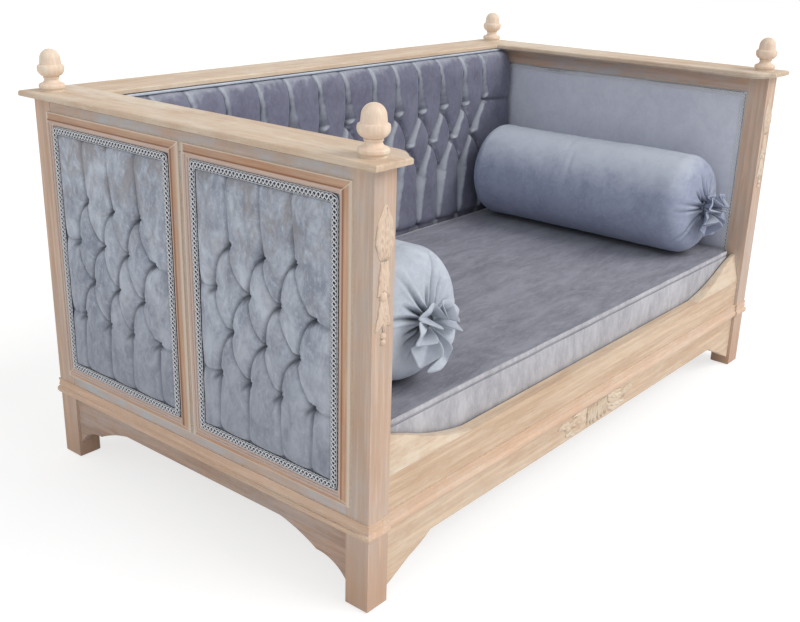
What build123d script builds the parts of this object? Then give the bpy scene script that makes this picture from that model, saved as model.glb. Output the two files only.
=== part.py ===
from build123d import *
from math import atan2, cos, hypot, radians, sin
import os

# A dog bed built like a small panelled day bed. Four square posts run down into the feet and carry rails
# with tenons, capped ends and back, turned finials, deep-tufted pads in mitred mouldings, a low front rail
# with wings, aprons, a loose mattress and two tied bolsters.
# Millimetres, +Z up, the origin on the floor under the middle, the front towards -Y.

os.makedirs("parts", exist_ok=True)

# The whole bed
length = 1300                # over the posts, left to right
depth = 750                  # over the posts, front to back
height = 652                 # from the floor to the tops of the posts
post_side = 43
foot_ease = 2                # bevel round the bottom of each foot

# Fits
clear = 0.3                  # round tenons and dowels, and round soft parts
overrun = 30                 # of cuts past the faces that they leave
tenon_thick = 10
tenon_depth = 15
tenon_shoulder = 4

# Rails and uprights
rail_low = 119               # underside of the rails
low_rail_high = 57           # end and back bottom rails
top_rail_high = 31
front_rail_high = 85
front_rail_thick = 22
front_setback = 6            # front rail behind the posts' faces
back_setback = 6             # back frame behind the posts' faces
back_rail_thick = 24
stile_wide = 60
mullion_wide = 24
mullion_thick = 30

# Wings on the front rail
wing_length = 207
wing_rise = 60
wing_lean = 14               # how far the face leans back at the post
wing_shares = [(0.2, 0.81), (0.42, 0.52), (0.66, 0.25)]

# Caps
cap_width = 102
cap_overhang = 18
cap_nose_width = 72          # width of a side cap at its front end
cap_nose_length = 55
cap_nose_share = (0.53, 0.64)
cap_cove = 5
cap_lip = 1.5
cap_quirk = 1
cap_edge = 6
cap_ease = 2
cove_steps = 3

# Finials and their dowels
finial_radius = 21.3
finial_high = 68
dowel_radius = 4
dowel_length = 60
dowel_sunk = 20              # in the post
finial_foot_shares = [(0.85, 0), (0.85, 0.05), (0.94, 0.065), (0.99, 0.09), (0.99, 0.14), (0.92, 0.175)]
finial_scotia_shares = [(0.79, 0.19), (0.6, 0.235), (0.54, 0.3)]
finial_ring_shares = [(0.61, 0.305), (0.61, 0.335)]
finial_cup_shares = [(0.57, 0.35), (0.97, 0.46), (0.98, 0.605)]
finial_dome_shares = [(0.82, 0.635), (0.77, 0.79)]

# Boards and panels
end_board_thick = 9
inner_panel_thick = 4
back_panel_thick = 6
pad_board_thick = 9
pad_board_gap = 2            # under the cap

# Framing mouldings of the ends
frame_lap = 8                # over the posts and the mullion
frame_wide = 20
frame_proud = 9
frame_low_lap = 12           # over the bottom rail
frame_top_lap = 15           # over the top rail
frame_edge_share = 0.33
frame_ogee_shares = [(0.28, 0.5), (0.5, 0.9)]
frame_bead_shares = [(0.54, 1), (0.62, 1.09), (0.7, 1)]
frame_slope_shares = [(0.7, 0.8), (0.84, 0.74), (0.86, 0.55), (1, 0.5)]

# Gimp braid
gimp_wide = 10
gimp_thick = 2

# Tufted pads of the ends
pad_edge = 5                 # of the padded edge proud of the frame
pad_crown = 6
pad_slope = 12
tufts_across = 67
tufts_down = 68
tufts_below = 116            # first row below the top of the field
tufts_above = 100            # least height of the last row over the foot of the field
tuft_margin = 40             # least distance from a tuft to the side of the field
pleat_deep = 5
pleat_half = 6
pit_deep = 9
pit_radius = 10
pit_floor = 2
pit_sides = 6

# Tufted back pad
back_pad_side_gap = 7        # to the posts
back_pad_foot_gap = 4        # over the slats
back_pad_top_gap = 6         # under the cap
back_pad_thick = 74
back_pad_edge = 51
back_pad_slope = 22
back_tufts_across = 80
back_tufts_down = 71
back_tufts_below = 106
back_tufts_above = 200
back_tuft_margin = 120
back_pleat_deep = 14
back_pleat_half = 13
back_pit_deep = 24
back_pit_radius = 20
back_pit_floor = 3

# Base moulding
base_out = 5                 # past the posts' faces
base_front_out = 7.5         # past the front and back rails' faces
base_torus = 14
base_bulge = 3.5
base_quirk = 1.5
base_cove = 9.5
base_fillet = 3
base_cove_in = 1
base_fillet_out = 2.2
base_hollow_share = 0.45

# Aprons
apron_thick = 18
end_apron_setback = 5        # behind the posts' faces
front_apron_low = 70
front_bracket_length = 110
front_bracket_drop = 52
front_bracket_shares = [(0.24, 0.27), (0.46, 0.44), (0.7, 0.7)]
end_apron_low = 88
end_bracket_length = 142
end_bracket_drop = 60
end_bracket_shares = [(0.3, 0.19), (0.55, 0.45), (0.85, 0.64)]

# Carvings
drop_below_cap = 42
drop_thick = 4
drop_bevel = 1.5
drop_leaf_lengths = (75, 52, 50)
drop_leaf_widths = (38, 32, 28)
drop_bead = 18
drop_widest_share = 0.62
plaque_half = 137
plaque_rise = 1              # over the apron's edge
plaque_thick = 5
plaque_bevel = 1.5
plaque_lap = 1               # below the moulding
plaque_hub_half = 37
plaque_rib_gap = 2
plaque_ribs = 5
plaque_lobe_shares = [(0.3, 0.92), (0.62, 0.55), (1, 0)]

# Seat
ledger_high = 20
ledger_wide = 25
ledger_rise = 1              # over the underside of the rails
slat_wide = 60
slat_thick = 18
slat_end_gap = 7             # from the last slat to the posts
slat_count = 12
slat_gap = 2                 # at each end of a slat

# Mattress
mattress_high = 117
mattress_gap = 4             # to the posts' inner faces
mattress_corner = 20
mattress_shares = [(0.12, 0), (0, 0.12), (0, 0.55), (0.12, 0.9), (0.3, 0.97), (1, 1)]
mattress_draw = 30           # how far the crown draws in from the sides

# Bolsters
bolster_radius = 109
bolster_from_back = 32       # behind the right one's back end, to the back pad
bolster_past_rail = 23       # of the right one's ruffle, in front of the rail's inner face
bolster_from_end = 3.5       # of the right one, to the posts' inner faces
left_from_end = 48           # of the left one
left_back = 9                # of the left one, further back than the right one
bolster_round = 25
bolster_gather = 52
bolster_neck = 14
gather_round = 45            # of the shoulder, before the nearly flat end
gather_floor_shares = [(0.9, 0.42), (0.58, 0.78)]    # of the grooves, in radius and in gather
tie_cord = 6
tie_band = 10
ruffle_length = 46
left_ruffle_radius = 64
right_ruffle_radius = 48
ruffle_waist = 34            # in between the folds
ruffle_neck_waist = 10
ruffle_thick = 6
ruffle_hollow = 8
ruffle_folds = 9
gather_count = 14
gather_half = 1.5
tie_sides = 6

# Places that follow from the sizes above
out_x = length / 2
out_y = depth / 2
in_x = out_x - post_side
in_y = out_y - post_side
low_rail_top = rail_low + low_rail_high
top_rail_low = height - top_rail_high
frame_low = low_rail_top - frame_low_lap
frame_high = top_rail_low + frame_top_lap - frame_low
front_face = out_y - front_setback
front_back = front_face - front_rail_thick
front_rail_top = rail_low + front_rail_high
back_face = out_y - back_setback
back_inner = back_face - back_rail_thick
pad_board_front = back_inner - pad_board_thick
back_pad_front = pad_board_front - back_pad_thick
cap_inner_x = out_x + cap_overhang - cap_width
cap_inner_y = out_y + cap_overhang - cap_width
cap_thick = cap_cove + cap_quirk + cap_edge + cap_ease
field_low = frame_low + frame_wide
field_high = frame_low + frame_high - frame_wide
field_inner = mullion_wide / 2 - frame_lap + frame_wide
field_outer = in_y + frame_lap - frame_wide
ledger_low = rail_low + ledger_rise
seat_top = ledger_low + ledger_high + slat_thick
slat_span = 2 * (in_x - slat_end_gap)
back_pad_length = 2 * (in_x - back_pad_side_gap)
back_pad_low = seat_top + back_pad_foot_gap
back_pad_high = height - back_pad_top_gap - back_pad_low
plaque_low = front_apron_low + plaque_rise
drop_top = height - drop_below_cap
mattress_top = seat_top + clear + mattress_high
bolster_back = back_pad_front - bolster_from_back
bolster_length = bolster_back + front_back + bolster_past_rail - ruffle_length - tie_band


def block(x, y, z):
    """A square block between a pair of places along each axis."""
    spans = (x, y, z)
    size = [abs(span[1] - span[0]) for span in spans]
    middle = [(span[0] + span[1]) / 2 for span in spans]
    return Pos(*middle) * Box(*size)


def save(name, shape):
    export_step(shape, f"parts/{name}.step")


def save_pair(name, right):
    """The right-hand piece as it is and the left-hand one as its mirror image."""
    save(f"{name}_right", right)
    save(f"{name}_left", mirror(right, about=Plane.YZ))


def both_ways(shape, about):
    """A piece and its mirror image, as two solids of one group."""
    return group([shape, mirror(shape, about=about)])


def group(pieces):
    solids = [solid for piece in pieces for solid in piece.solids()]
    return Compound(children=solids)


def rail(x, y, z, along, across):
    """A rail with a tenon at each end, and the block that cuts its two mortices.

    along and across number the axes that the rail runs and that it is thin in."""
    spans = [list(x), list(y), list(z)]
    bar = [list(span) for span in spans]
    for axis, span in enumerate(bar):
        if axis == along:
            span[0] -= tenon_depth
            span[1] += tenon_depth
        elif axis == across:
            middle = (span[0] + span[1]) / 2
            span[0] = middle - tenon_thick / 2
            span[1] = middle + tenon_thick / 2
        else:
            span[0] += tenon_shoulder
            span[1] -= tenon_shoulder
    hole = block(*[(span[0] - clear, span[1] + clear) for span in bar])
    return block(*spans) + block(*bar), hole


def cap_steps():
    """Inset and rise of a cap's edge from its underside: a cove, an upright edge and an eased arris."""
    steps = []
    for step in range(cove_steps + 1):
        turn = radians(90 * step / cove_steps)
        inset = cap_lip + (cap_overhang - cap_lip) * cos(turn)
        steps.append((inset, cap_cove * sin(turn)))
    upright = cap_cove + cap_quirk
    steps += [(0, upright), (0, upright + cap_edge), (cap_ease, cap_thick)]
    return steps


def cap_bar(start, end):
    """The back cap's section run from start to end along X."""
    low, high = cap_inner_y, out_y + cap_overhang
    front = [(low + inset, height + rise) for inset, rise in cap_steps()]
    back = [(high - inset, height + rise) for inset, rise in reversed(cap_steps())]
    section = make_face(Polyline(*front, *back, close=True))
    return extrude(Plane.YZ.offset(start) * section, end - start)


def side_cap():
    """The right cap, with its narrower nose at the front and a square seat for the back cap."""
    outer, far = out_x + cap_overhang, out_y + cap_overhang
    nose_x = outer - cap_nose_width
    start = (cap_inner_x, -far + cap_nose_length)
    middle = (cap_inner_x + (nose_x - cap_inner_x) * cap_nose_share[0],
              start[1] - cap_nose_length * cap_nose_share[1])
    first = TangentArc(start, middle, tangent=(0, -1))
    second = TangentArc(middle, (nose_x, -far), tangent=first % 1)
    rest = Polyline((nose_x, -far), (outer, -far), (outer, far), (cap_inner_x, far), start)
    outline = make_face(first + second + rest)
    layers = []
    for inset, rise in cap_steps():
        layer = outline if inset == 0 else offset(outline, -inset, kind=Kind.INTERSECTION)
        layers.append(Pos(0, 0, height + rise) * layer)
    return loft(layers, ruled=True) + cap_bar(cap_inner_x, cap_inner_x + cap_overhang)


def curve(shares, wide, high):
    """An arc through three points given as shares of a width and a height."""
    return ThreePointArc(*[(across * wide, up * high) for across, up in shares])


def finial():
    """A turned acorn, its foot at the origin, bored for its dowel."""
    bore = dowel_radius + clear
    bore_top = dowel_length - dowel_sunk - cap_thick + clear
    foot, ring, (waist, brow) = [[(r * finial_radius, z * finial_high) for r, z in shares] for shares in (
        finial_foot_shares, finial_ring_shares, finial_dome_shares)]
    scotia, cup = [curve(shares, finial_radius, finial_high) for shares in (
        finial_scotia_shares, finial_cup_shares)]
    rise = finial_high - brow[1]
    ball = (brow[0] ** 2 + rise ** 2) / (2 * rise)
    slant = atan2(brow[0], brow[1] - finial_high + ball) / 2
    top = (0, finial_high)
    dome = ThreePointArc(brow, (ball * sin(slant), finial_high - ball + ball * cos(slant)), top)
    steps = [Polyline((0, bore_top), (bore, bore_top), (bore, 0), *foot, scotia @ 0),
             Polyline(scotia @ 1, *ring, cup @ 0), Polyline(cup @ 1, waist, brow), Line(top, (0, bore_top))]
    return revolve(Plane.XZ * make_face(Curve() + [scotia, cup, dome, *steps]), Axis.Z)


def mitred(section, run, wide):
    """A length of moulding along +X from the origin, wide up +Y, its face up +Z, mitred at both ends."""
    bar = extrude(Plane.YZ * section, run)
    plan = Polyline((0, 0), (run, 0), (run - wide, wide), (wide, wide), close=True)
    return bar & extrude(make_face(plan), overrun)


def framing(section, across, up, wide):
    """Four mitred lengths round a rectangle whose lower left corner is the origin."""
    return [mitred(section, across, wide),
            Pos(across, 0) * Rot(Z=90) * mitred(section, up, wide),
            Pos(across, up) * Rot(Z=180) * mitred(section, across, wide),
            Pos(0, up) * Rot(Z=270) * mitred(section, up, wide)]


def frame_section():
    """A bolection moulding: an edge, an ogee, a bead, and steps down to the padding."""
    def place(point):
        return (point[0] * frame_wide, point[1] * frame_proud)

    edge = (0, frame_edge_share * frame_proud)
    ogee = ThreePointArc(edge, *[place(point) for point in frame_ogee_shares])
    bead = ThreePointArc(*[place(point) for point in frame_bead_shares])
    slope = [place(point) for point in frame_slope_shares]
    outline = Line((0, 0), edge) + ogee + Line(ogee @ 1, bead @ 0) + bead
    outline += Polyline(bead @ 1, *slope, (frame_wide, 0), (0, 0))
    return make_face(outline)


def gimp_section():
    return make_face(Polyline((0, 0), (gimp_wide, 0), (gimp_wide, gimp_thick), (0, gimp_thick), close=True))


def end_plane(x, y, z):
    """A plane that looks out of the right end, with +X along the bed's +Y and +Y up."""
    return Plane(origin=(x, y, z), x_dir=(0, 1, 0), z_dir=(1, 0, 0))


def tuft_rows(wide, high, across, down, below, above, margin, first_short):
    """Places of the tufts, row by row from the top, every other row one fewer than the field takes."""
    full = int((wide - 2 * margin) / across) + 1
    rows = []
    for row in range(int((high - below - above) / down) + 1):
        count = full - 1 if (row % 2 == 0) == first_short else full
        start = -(count - 1) * across / 2
        rows.append([(start + place * across, high / 2 - below - row * down) for place in range(count)])
    return rows


def pleat_lines(rows, across, half, low, high):
    """Pleats: diamonds between the tufts, and straight ones out to the edges."""
    lines = []
    for upper, lower in zip(rows, rows[1:]):
        lines += [(a, b) for a in upper for b in lower if abs(a[0] - b[0]) < across]
    lines += [((x, y), (x, high)) for x, y in rows[0]]
    lines += [((x, y), (x, low)) for x, y in rows[-1]]
    widest = max(len(row) for row in rows)
    for row in rows:
        if len(row) == widest:
            lines += [(row[0], (-half, row[0][1])), (row[-1], (half, row[-1][1]))]
    return lines


def pleat(start, end, half, deep):
    """A V-shaped cut from start to end, its floor deep under the plane."""
    run = (end[0] - start[0], end[1] - start[1])
    plane = Plane(origin=(*start, 0), x_dir=(-run[1], run[0], 0), z_dir=(*run, 0))
    section = Polyline((0, -deep), (2 * half, deep), (-2 * half, deep), close=True)
    return extrude(plane * make_face(section), hypot(*run))


def pit(radius, floor, deep):
    """A funnel-shaped cut for one tuft, its floor deep under the plane."""
    low = Pos(0, 0, -deep) * RegularPolygon(floor, pit_sides)
    high = Pos(0, 0, deep) * RegularPolygon(2 * radius - floor, pit_sides)
    return loft([low, high], ruled=True)


def tufting(plane, rows, lines, half, deep, radius, floor, pit_depth):
    """All the cuts of one tufted pad, its crown in the plane."""
    funnel = pit(radius, floor, pit_depth)
    cuts = [pleat(start, end, half, deep) for start, end in lines]
    cuts += [Pos(*tuft, 0) * funnel for row in rows for tuft in row]
    return [plane * cut for cut in cuts]


def end_pad():
    """The pad behind the right end's rear field: a board, an edge under the braid and a tufted crown."""
    opening_y = (mullion_wide / 2 + clear, in_y - clear)
    opening_z = (low_rail_top + clear, top_rail_low - clear)
    back = block((out_x - mullion_thick, out_x - clear), opening_y, opening_z)
    wide = field_outer - field_inner - 2 * clear
    high = field_high - field_low - 2 * clear
    middle_y = (field_inner + field_outer) / 2
    middle_z = (field_low + field_high) / 2
    rim = block((out_x - 2 * clear, out_x + pad_edge), (middle_y - wide / 2, middle_y + wide / 2),
                (middle_z - high / 2, middle_z + high / 2))
    rise = end_plane(out_x + pad_edge + pad_crown, middle_y, middle_z)
    foot = Rectangle(wide - 2 * gimp_wide - 2 * clear, high - 2 * gimp_wide - 2 * clear)
    top = Rectangle(wide - 2 * gimp_wide - 2 * pad_slope, high - 2 * gimp_wide - 2 * pad_slope)
    crown = loft([rise * Pos(0, 0, -pad_crown) * foot, rise * top], ruled=True)
    rows = tuft_rows(wide, high, tufts_across, tufts_down, tufts_below, tufts_above, tuft_margin, True)
    lines = pleat_lines(rows, tufts_across, wide / 2 - gimp_wide, gimp_wide - high / 2, high / 2 - gimp_wide)
    cuts = tufting(rise, rows, lines, pleat_half, pleat_deep, pit_radius, pit_floor, pit_deep)
    return back + rim + crown - cuts


def back_pad():
    """The long tufted pad of the back."""
    middle = back_pad_low + back_pad_high / 2
    face = Plane(origin=(0, back_pad_front, middle), x_dir=(1, 0, 0), z_dir=(0, -1, 0))
    full = Rectangle(back_pad_length, back_pad_high)
    top = Rectangle(back_pad_length - 2 * back_pad_slope, back_pad_high - 2 * back_pad_slope)
    body = loft([face * Pos(0, 0, clear - back_pad_thick) * full,
                 face * Pos(0, 0, back_pad_edge - back_pad_thick) * full, face * top], ruled=True)
    half = back_pad_high / 2
    rows = tuft_rows(back_pad_length, back_pad_high, back_tufts_across, back_tufts_down,
                     back_tufts_below, back_tufts_above, back_tuft_margin, False)
    lines = pleat_lines(rows, back_tufts_across, back_pad_length / 2, -half, half)
    return body - tufting(face, rows, lines, back_pleat_half, back_pleat_deep,
                          back_pit_radius, back_pit_floor, back_pit_deep)


def base_section(out):
    """Base moulding, out from the wood in X and up in Y: torus, quirk, cove and top fillet."""
    torus_in = out - base_bulge
    quirk_top = base_torus + base_quirk
    cove_out = torus_in + base_cove_in
    cove_top = quirk_top + base_cove
    fillet_in = out - base_out + base_fillet_out - base_cove_in
    hollow = fillet_in + (cove_out - fillet_in) * base_hollow_share / 2
    torus = ThreePointArc((torus_in, 0), (out, base_torus / 2), (torus_in, base_torus))
    cove = ThreePointArc((cove_out, quirk_top), (hollow, (quirk_top + cove_top) / 2), (fillet_in, cove_top))
    fillet_out = fillet_in + base_cove_in
    outline = Line((0, 0), torus @ 0) + torus
    outline += Polyline(torus @ 1, (torus_in, quirk_top), cove @ 0) + cove
    outline += Polyline(cove @ 1, (fillet_out, cove_top), (fillet_out, cove_top + base_fillet),
                        (0, cove_top + base_fillet), (0, 0))
    return make_face(outline)


def base_bar(origin, run_dir, out_dir, run, out):
    """A length of base moulding from a corner of the wood, square at both ends."""
    plane = Plane(origin=(*origin, rail_low), x_dir=(*out_dir, 0), z_dir=(out_dir[1], -out_dir[0], 0))
    backwards = run_dir == (-out_dir[1], out_dir[0])
    return extrude(plane * base_section(out), -run if backwards else run)


def base_moulding_end():
    """Right end: one length along the end and a mitred return over each post."""
    high = base_torus + base_quirk + base_cove + base_fillet
    far = out_y + base_out
    side = base_bar((out_x, -far), (0, 1), (1, 0), 2 * far, base_out)
    turn = base_bar((in_x, -out_y), (1, 0), (0, -1), post_side + base_out, base_out)
    corner = make_face(Polyline((out_x, -out_y), (out_x + 2 * base_out, -out_y - 2 * base_out),
                                (out_x, -out_y - 2 * base_out), close=True))
    waste = Pos(0, 0, rail_low) * extrude(corner, high)
    beyond = make_face(Polyline((out_x, -out_y), (out_x + 2 * base_out, -out_y - 2 * base_out),
                                (out_x + 2 * base_out, -out_y), close=True))
    outside = Pos(0, 0, rail_low) * extrude(beyond, high)
    side = side - waste - mirror(waste, about=Plane.XZ)
    turn = turn - outside
    return group([side, turn, mirror(turn, about=Plane.XZ)])


def base_moulding_front():
    return base_bar((-in_x, -front_face), (1, 0), (0, -1), 2 * in_x, base_front_out)


def apron(half, low, bracket_length, bracket_drop, shares):
    """Outline of an apron, along X and up Y, with a bracket curve down to the post at each end."""
    start = half - bracket_length

    def place(point):
        return (start + point[0] * bracket_length, low - point[1] * bracket_drop)

    points = [place(point) for point in ((0, 0), *shares, (1, 1))]
    right = ThreePointArc(*points[:3]) + ThreePointArc(*points[2:])
    left = mirror(right, about=Plane.YZ)
    edges = right + left + Line((-start, low), (start, low))
    edges += Polyline((half, low - bracket_drop), (half, rail_low), (-half, rail_low),
                      (-half, low - bracket_drop))
    return make_face(edges)


def wing():
    """The right wing on the front rail, its top an ogee and its face leaning back."""
    def place(point):
        return (in_x - point[0] * wing_length, front_rail_top + point[1] * wing_rise)

    tall, *bends, tip = [place(point) for point in ((0, 1), *wing_shares, (1, 0))]
    outline = ThreePointArc(tall, bends[0], bends[1]) + ThreePointArc(bends[1], bends[2], tip)
    outline += Polyline(tip, (in_x, front_rail_top), tall)
    solid = extrude(Plane.XZ.offset(front_back) * make_face(outline), front_rail_thick)
    reach = 2 * wing_rise
    lean = wing_lean * reach / wing_rise
    waste = Polyline((-front_face, front_rail_top), (lean - front_face, front_rail_top + reach),
                     (-front_face - overrun, front_rail_top + reach),
                     (-front_face - overrun, front_rail_top), close=True)
    return solid - extrude(Plane.YZ.offset(in_x - wing_length - overrun) * make_face(waste),
                           wing_length + 2 * overrun)


def leaf(long, wide):
    """Outline of a leaf that hangs down from the origin, widest nearer to its top."""
    widest = long * (1 - drop_widest_share)
    right = ThreePointArc((0, 0), (wide / 2, -widest), (0, -long))
    return make_face(right + mirror(right, about=Plane.YZ))


def post_drop():
    """A drop of leaves and a bead on the right post's front face."""
    face = Plane(origin=(out_x - post_side / 2, -out_y, 0), x_dir=(1, 0, 0), z_dir=(0, -1, 0))
    pieces = []
    top = drop_top
    for long, wide in zip(drop_leaf_lengths, drop_leaf_widths):
        solid = extrude(leaf(long, wide), drop_thick)
        rim = solid.faces().sort_by(Axis.Z)[-1].edges()
        pieces.append(Pos(0, top) * chamfer(rim, drop_bevel))
        top -= long
    bead = Pos(0, top - drop_bead / 2) * extrude(Circle(drop_bead / 2), drop_thick)
    pieces.append(chamfer(bead.faces().sort_by(Axis.Z)[-1].edges(), drop_bevel))
    return group([face * piece for piece in pieces])


def front_plaque():
    """The carved piece on the front apron: a ribbed hub between two lobes."""
    face = Plane(origin=(0, -front_face, 0), x_dir=(1, 0, 0), z_dir=(0, -1, 0))
    high = rail_low - plaque_lap - plaque_low
    pieces = []
    pitch = 2 * plaque_hub_half / plaque_ribs
    for rib in range(plaque_ribs):
        middle = -plaque_hub_half + (rib + 0.5) * pitch
        rib_face = Rectangle(pitch - plaque_rib_gap, high)
        solid = Pos(middle, plaque_low + high / 2) * extrude(rib_face, plaque_thick)
        rim = solid.faces().sort_by(Axis.Z)[-1].edges()
        pieces.append(chamfer(rim, plaque_bevel))
    reach = plaque_half - plaque_hub_half - plaque_rib_gap

    def place(point):
        return (plaque_hub_half + plaque_rib_gap + point[0] * reach, plaque_low + point[1] * high)

    start = place((0, 1))
    bends = [place(point) for point in plaque_lobe_shares]
    outline = ThreePointArc(start, *bends[:2]) + Polyline(*bends[1:], place((0, 0)), start)
    lobe = extrude(make_face(outline), plaque_thick)
    lobe = chamfer(lobe.faces().sort_by(Axis.Z)[-1].edges(), plaque_bevel)
    pieces += [lobe, mirror(lobe, about=Plane.YZ)]
    return group([face * piece for piece in pieces])


def mattress():
    """A loose mattress with drawn-in edges and a low crown."""
    half = in_x - mattress_gap
    front, back = clear - front_back, back_pad_front - clear
    layers = []
    for draw, rise in mattress_shares:
        inset = draw * mattress_draw
        layer = RectangleRounded(2 * (half - inset), back - front - 2 * inset, mattress_corner)
        layers.append(Pos(0, (front + back) / 2, seat_top + clear + rise * mattress_high) * layer)
    return loft(layers, ruled=True)


def fold_star(radius, waist):
    """Outline across the ruffle's folds: out to a radius and in to a waist by turns."""
    spokes = [(radius, waist)[number % 2] for number in range(2 * ruffle_folds)]
    turns = [radians(180 * number / ruffle_folds) for number in range(2 * ruffle_folds)]
    points = [(reach * cos(turn), reach * sin(turn)) for reach, turn in zip(spokes, turns)]
    return make_face(Polyline(*points, close=True))


def ruffle(radius):
    """The folded cloth past the tie, flared to a radius and open at its end."""
    neck = bolster_length + tie_band
    rim = neck + ruffle_length
    outer = loft([Pos(0, 0, neck) * fold_star(bolster_neck, ruffle_neck_waist),
                  Pos(0, 0, rim) * fold_star(radius, ruffle_waist)], ruled=True)
    inner = loft([Pos(0, 0, neck + ruffle_hollow) * fold_star(bolster_neck, ruffle_neck_waist),
                  Pos(0, 0, rim) * fold_star(radius - ruffle_thick, ruffle_waist - ruffle_thick)],
                 ruled=True)
    return outer - inner


def gathers(shoulder):
    """Slots in the gathered end, their floors running in from over the shoulder to the neck."""
    outer = bolster_radius + overrun
    bends = [(across * bolster_radius, shoulder + up * bolster_gather) for across, up in gather_floor_shares]
    outline = Polyline((bolster_radius + gather_half, shoulder), *bends,
                       (bolster_neck - gather_half, bolster_length), (outer, bolster_length),
                       (outer, shoulder), close=True)
    slot = extrude(Plane.XZ * make_face(outline), gather_half, both=True)
    return [Rot(Z=360 * number / gather_count) * slot for number in range(gather_count)]


def bolster(ruffle_radius):
    """A round bolster along +Z from its back end, gathered to a neck, with a ruffle past the tie."""
    shoulder = bolster_length - bolster_gather
    slack = 1 - cos(radians(45))
    back = ThreePointArc((bolster_radius - bolster_round, 0),
                         (bolster_radius - slack * bolster_round, slack * bolster_round),
                         (bolster_radius, bolster_round))
    turned = (bolster_radius - gather_round, shoulder + gather_round)
    gather = ThreePointArc((bolster_radius, shoulder), (bolster_radius - slack * gather_round,
                           turned[1] - slack * gather_round), turned)
    neck = bolster_length + tie_band
    outline = Line((0, 0), back @ 0) + back + Line(back @ 1, gather @ 0) + gather
    outline += Polyline(turned, (bolster_neck, bolster_length), (bolster_neck, neck), (0, neck), (0, 0))
    body = revolve(Plane.XZ * make_face(outline), Axis.Z)
    return body - gathers(shoulder) + ruffle(ruffle_radius)


def tie():
    """The cord round the neck, as a six-sided ring about the bolster's axis."""
    section = Pos(bolster_neck + clear + tie_cord / 2, bolster_length + tie_band / 2) * RegularPolygon(
        tie_cord / 2, tie_sides)
    return revolve(Plane.XZ * section, Axis.Z)


# Rails, uprights and the blocks that cut their mortices
end_top_rail, top_holes = rail((in_x, out_x), (-in_y, in_y), (top_rail_low, height), 1, 0)
end_bottom_rail, bottom_holes = rail((in_x, out_x), (-in_y, in_y), (rail_low, low_rail_top), 1, 0)
end_mullion, mullion_holes = rail((out_x - mullion_thick, out_x), (-mullion_wide / 2, mullion_wide / 2),
                                  (low_rail_top, top_rail_low), 2, 0)
front_rail, front_holes = rail((-in_x, in_x), (-front_face, -front_back), (rail_low, front_rail_top), 0, 1)
back_top_rail, back_top_holes = rail((-in_x, in_x), (back_inner, back_face), (top_rail_low, height), 0, 1)
back_bottom_rail, back_bottom_holes = rail((-in_x, in_x), (back_inner, back_face),
                                           (rail_low, low_rail_top), 0, 1)
back_stile, stile_holes = rail((-stile_wide / 2, stile_wide / 2), (back_inner, back_face),
                               (low_rail_top, top_rail_low), 2, 1)

# Dowels over the middles of the posts
dowel_x = out_x - post_side / 2
dowel_y = out_y - post_side / 2
dowel = Pos(dowel_x, -dowel_y, height - dowel_sunk + dowel_length / 2) * Cylinder(dowel_radius, dowel_length)
dowel_hole = Pos(dowel_x, -dowel_y, height - dowel_sunk + dowel_length / 2) * Cylinder(
    dowel_radius + clear, dowel_length + 2 * clear)
dowel_holes = [dowel_hole, mirror(dowel_hole, about=Plane.XZ)]

# Posts
post = block((in_x, out_x), (-out_y, -in_y), (0, height))
post = chamfer(post.faces().sort_by(Axis.Z)[0].edges(), foot_ease)
save_pair("post_front", post - [top_holes, bottom_holes, front_holes, dowel_hole])
back_post = mirror(post, about=Plane.XZ)
back_holes = [top_holes, bottom_holes, back_top_holes, back_bottom_holes, dowel_holes[1]]
save_pair("post_back", back_post - back_holes)

# End frames
save_pair("end_top_rail", end_top_rail - mullion_holes)
save_pair("end_bottom_rail", end_bottom_rail - mullion_holes)
save_pair("end_mullion", end_mullion)
board_back = out_x - mullion_thick - end_board_thick
save_pair("end_board", block((board_back, out_x - mullion_thick), (clear - in_y, in_y - clear),
                             (low_rail_top + clear, top_rail_low - clear)))
save_pair("inner_panel", block((in_x, in_x + inner_panel_thick), (clear - in_y, in_y - clear),
                               (low_rail_top + clear, top_rail_low - clear)))

# Back frame
save("back_top_rail", back_top_rail - stile_holes)
save("back_bottom_rail", back_bottom_rail - stile_holes)
save("back_stile", back_stile)
save("back_pad_board", block((clear - in_x, in_x - clear), (pad_board_front, back_inner),
                             (back_pad_low, height - pad_board_gap)))
save("back_outer_panel", block((clear - in_x, in_x - clear), (back_face, back_face + back_panel_thick),
                               (rail_low + base_torus + base_quirk + base_cove + base_fillet, height)))
save("tufted_back_pad", back_pad())

# Front rail and its wings
save("front_rail", front_rail)
save_pair("rail_wing", wing())

# Caps, finials and dowels
cap = side_cap()
save_pair("cap", cap - dowel_holes)
save("cap_back", cap_bar(-cap_inner_x, cap_inner_x))
acorn = Pos(dowel_x, -dowel_y, height + cap_thick) * finial()
save_pair("finial_front", acorn)
save_pair("finial_back", mirror(acorn, about=Plane.XZ))
dowels = both_ways(dowel, Plane.XZ)
save("finial_dowels", both_ways(dowels, Plane.YZ))

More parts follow.
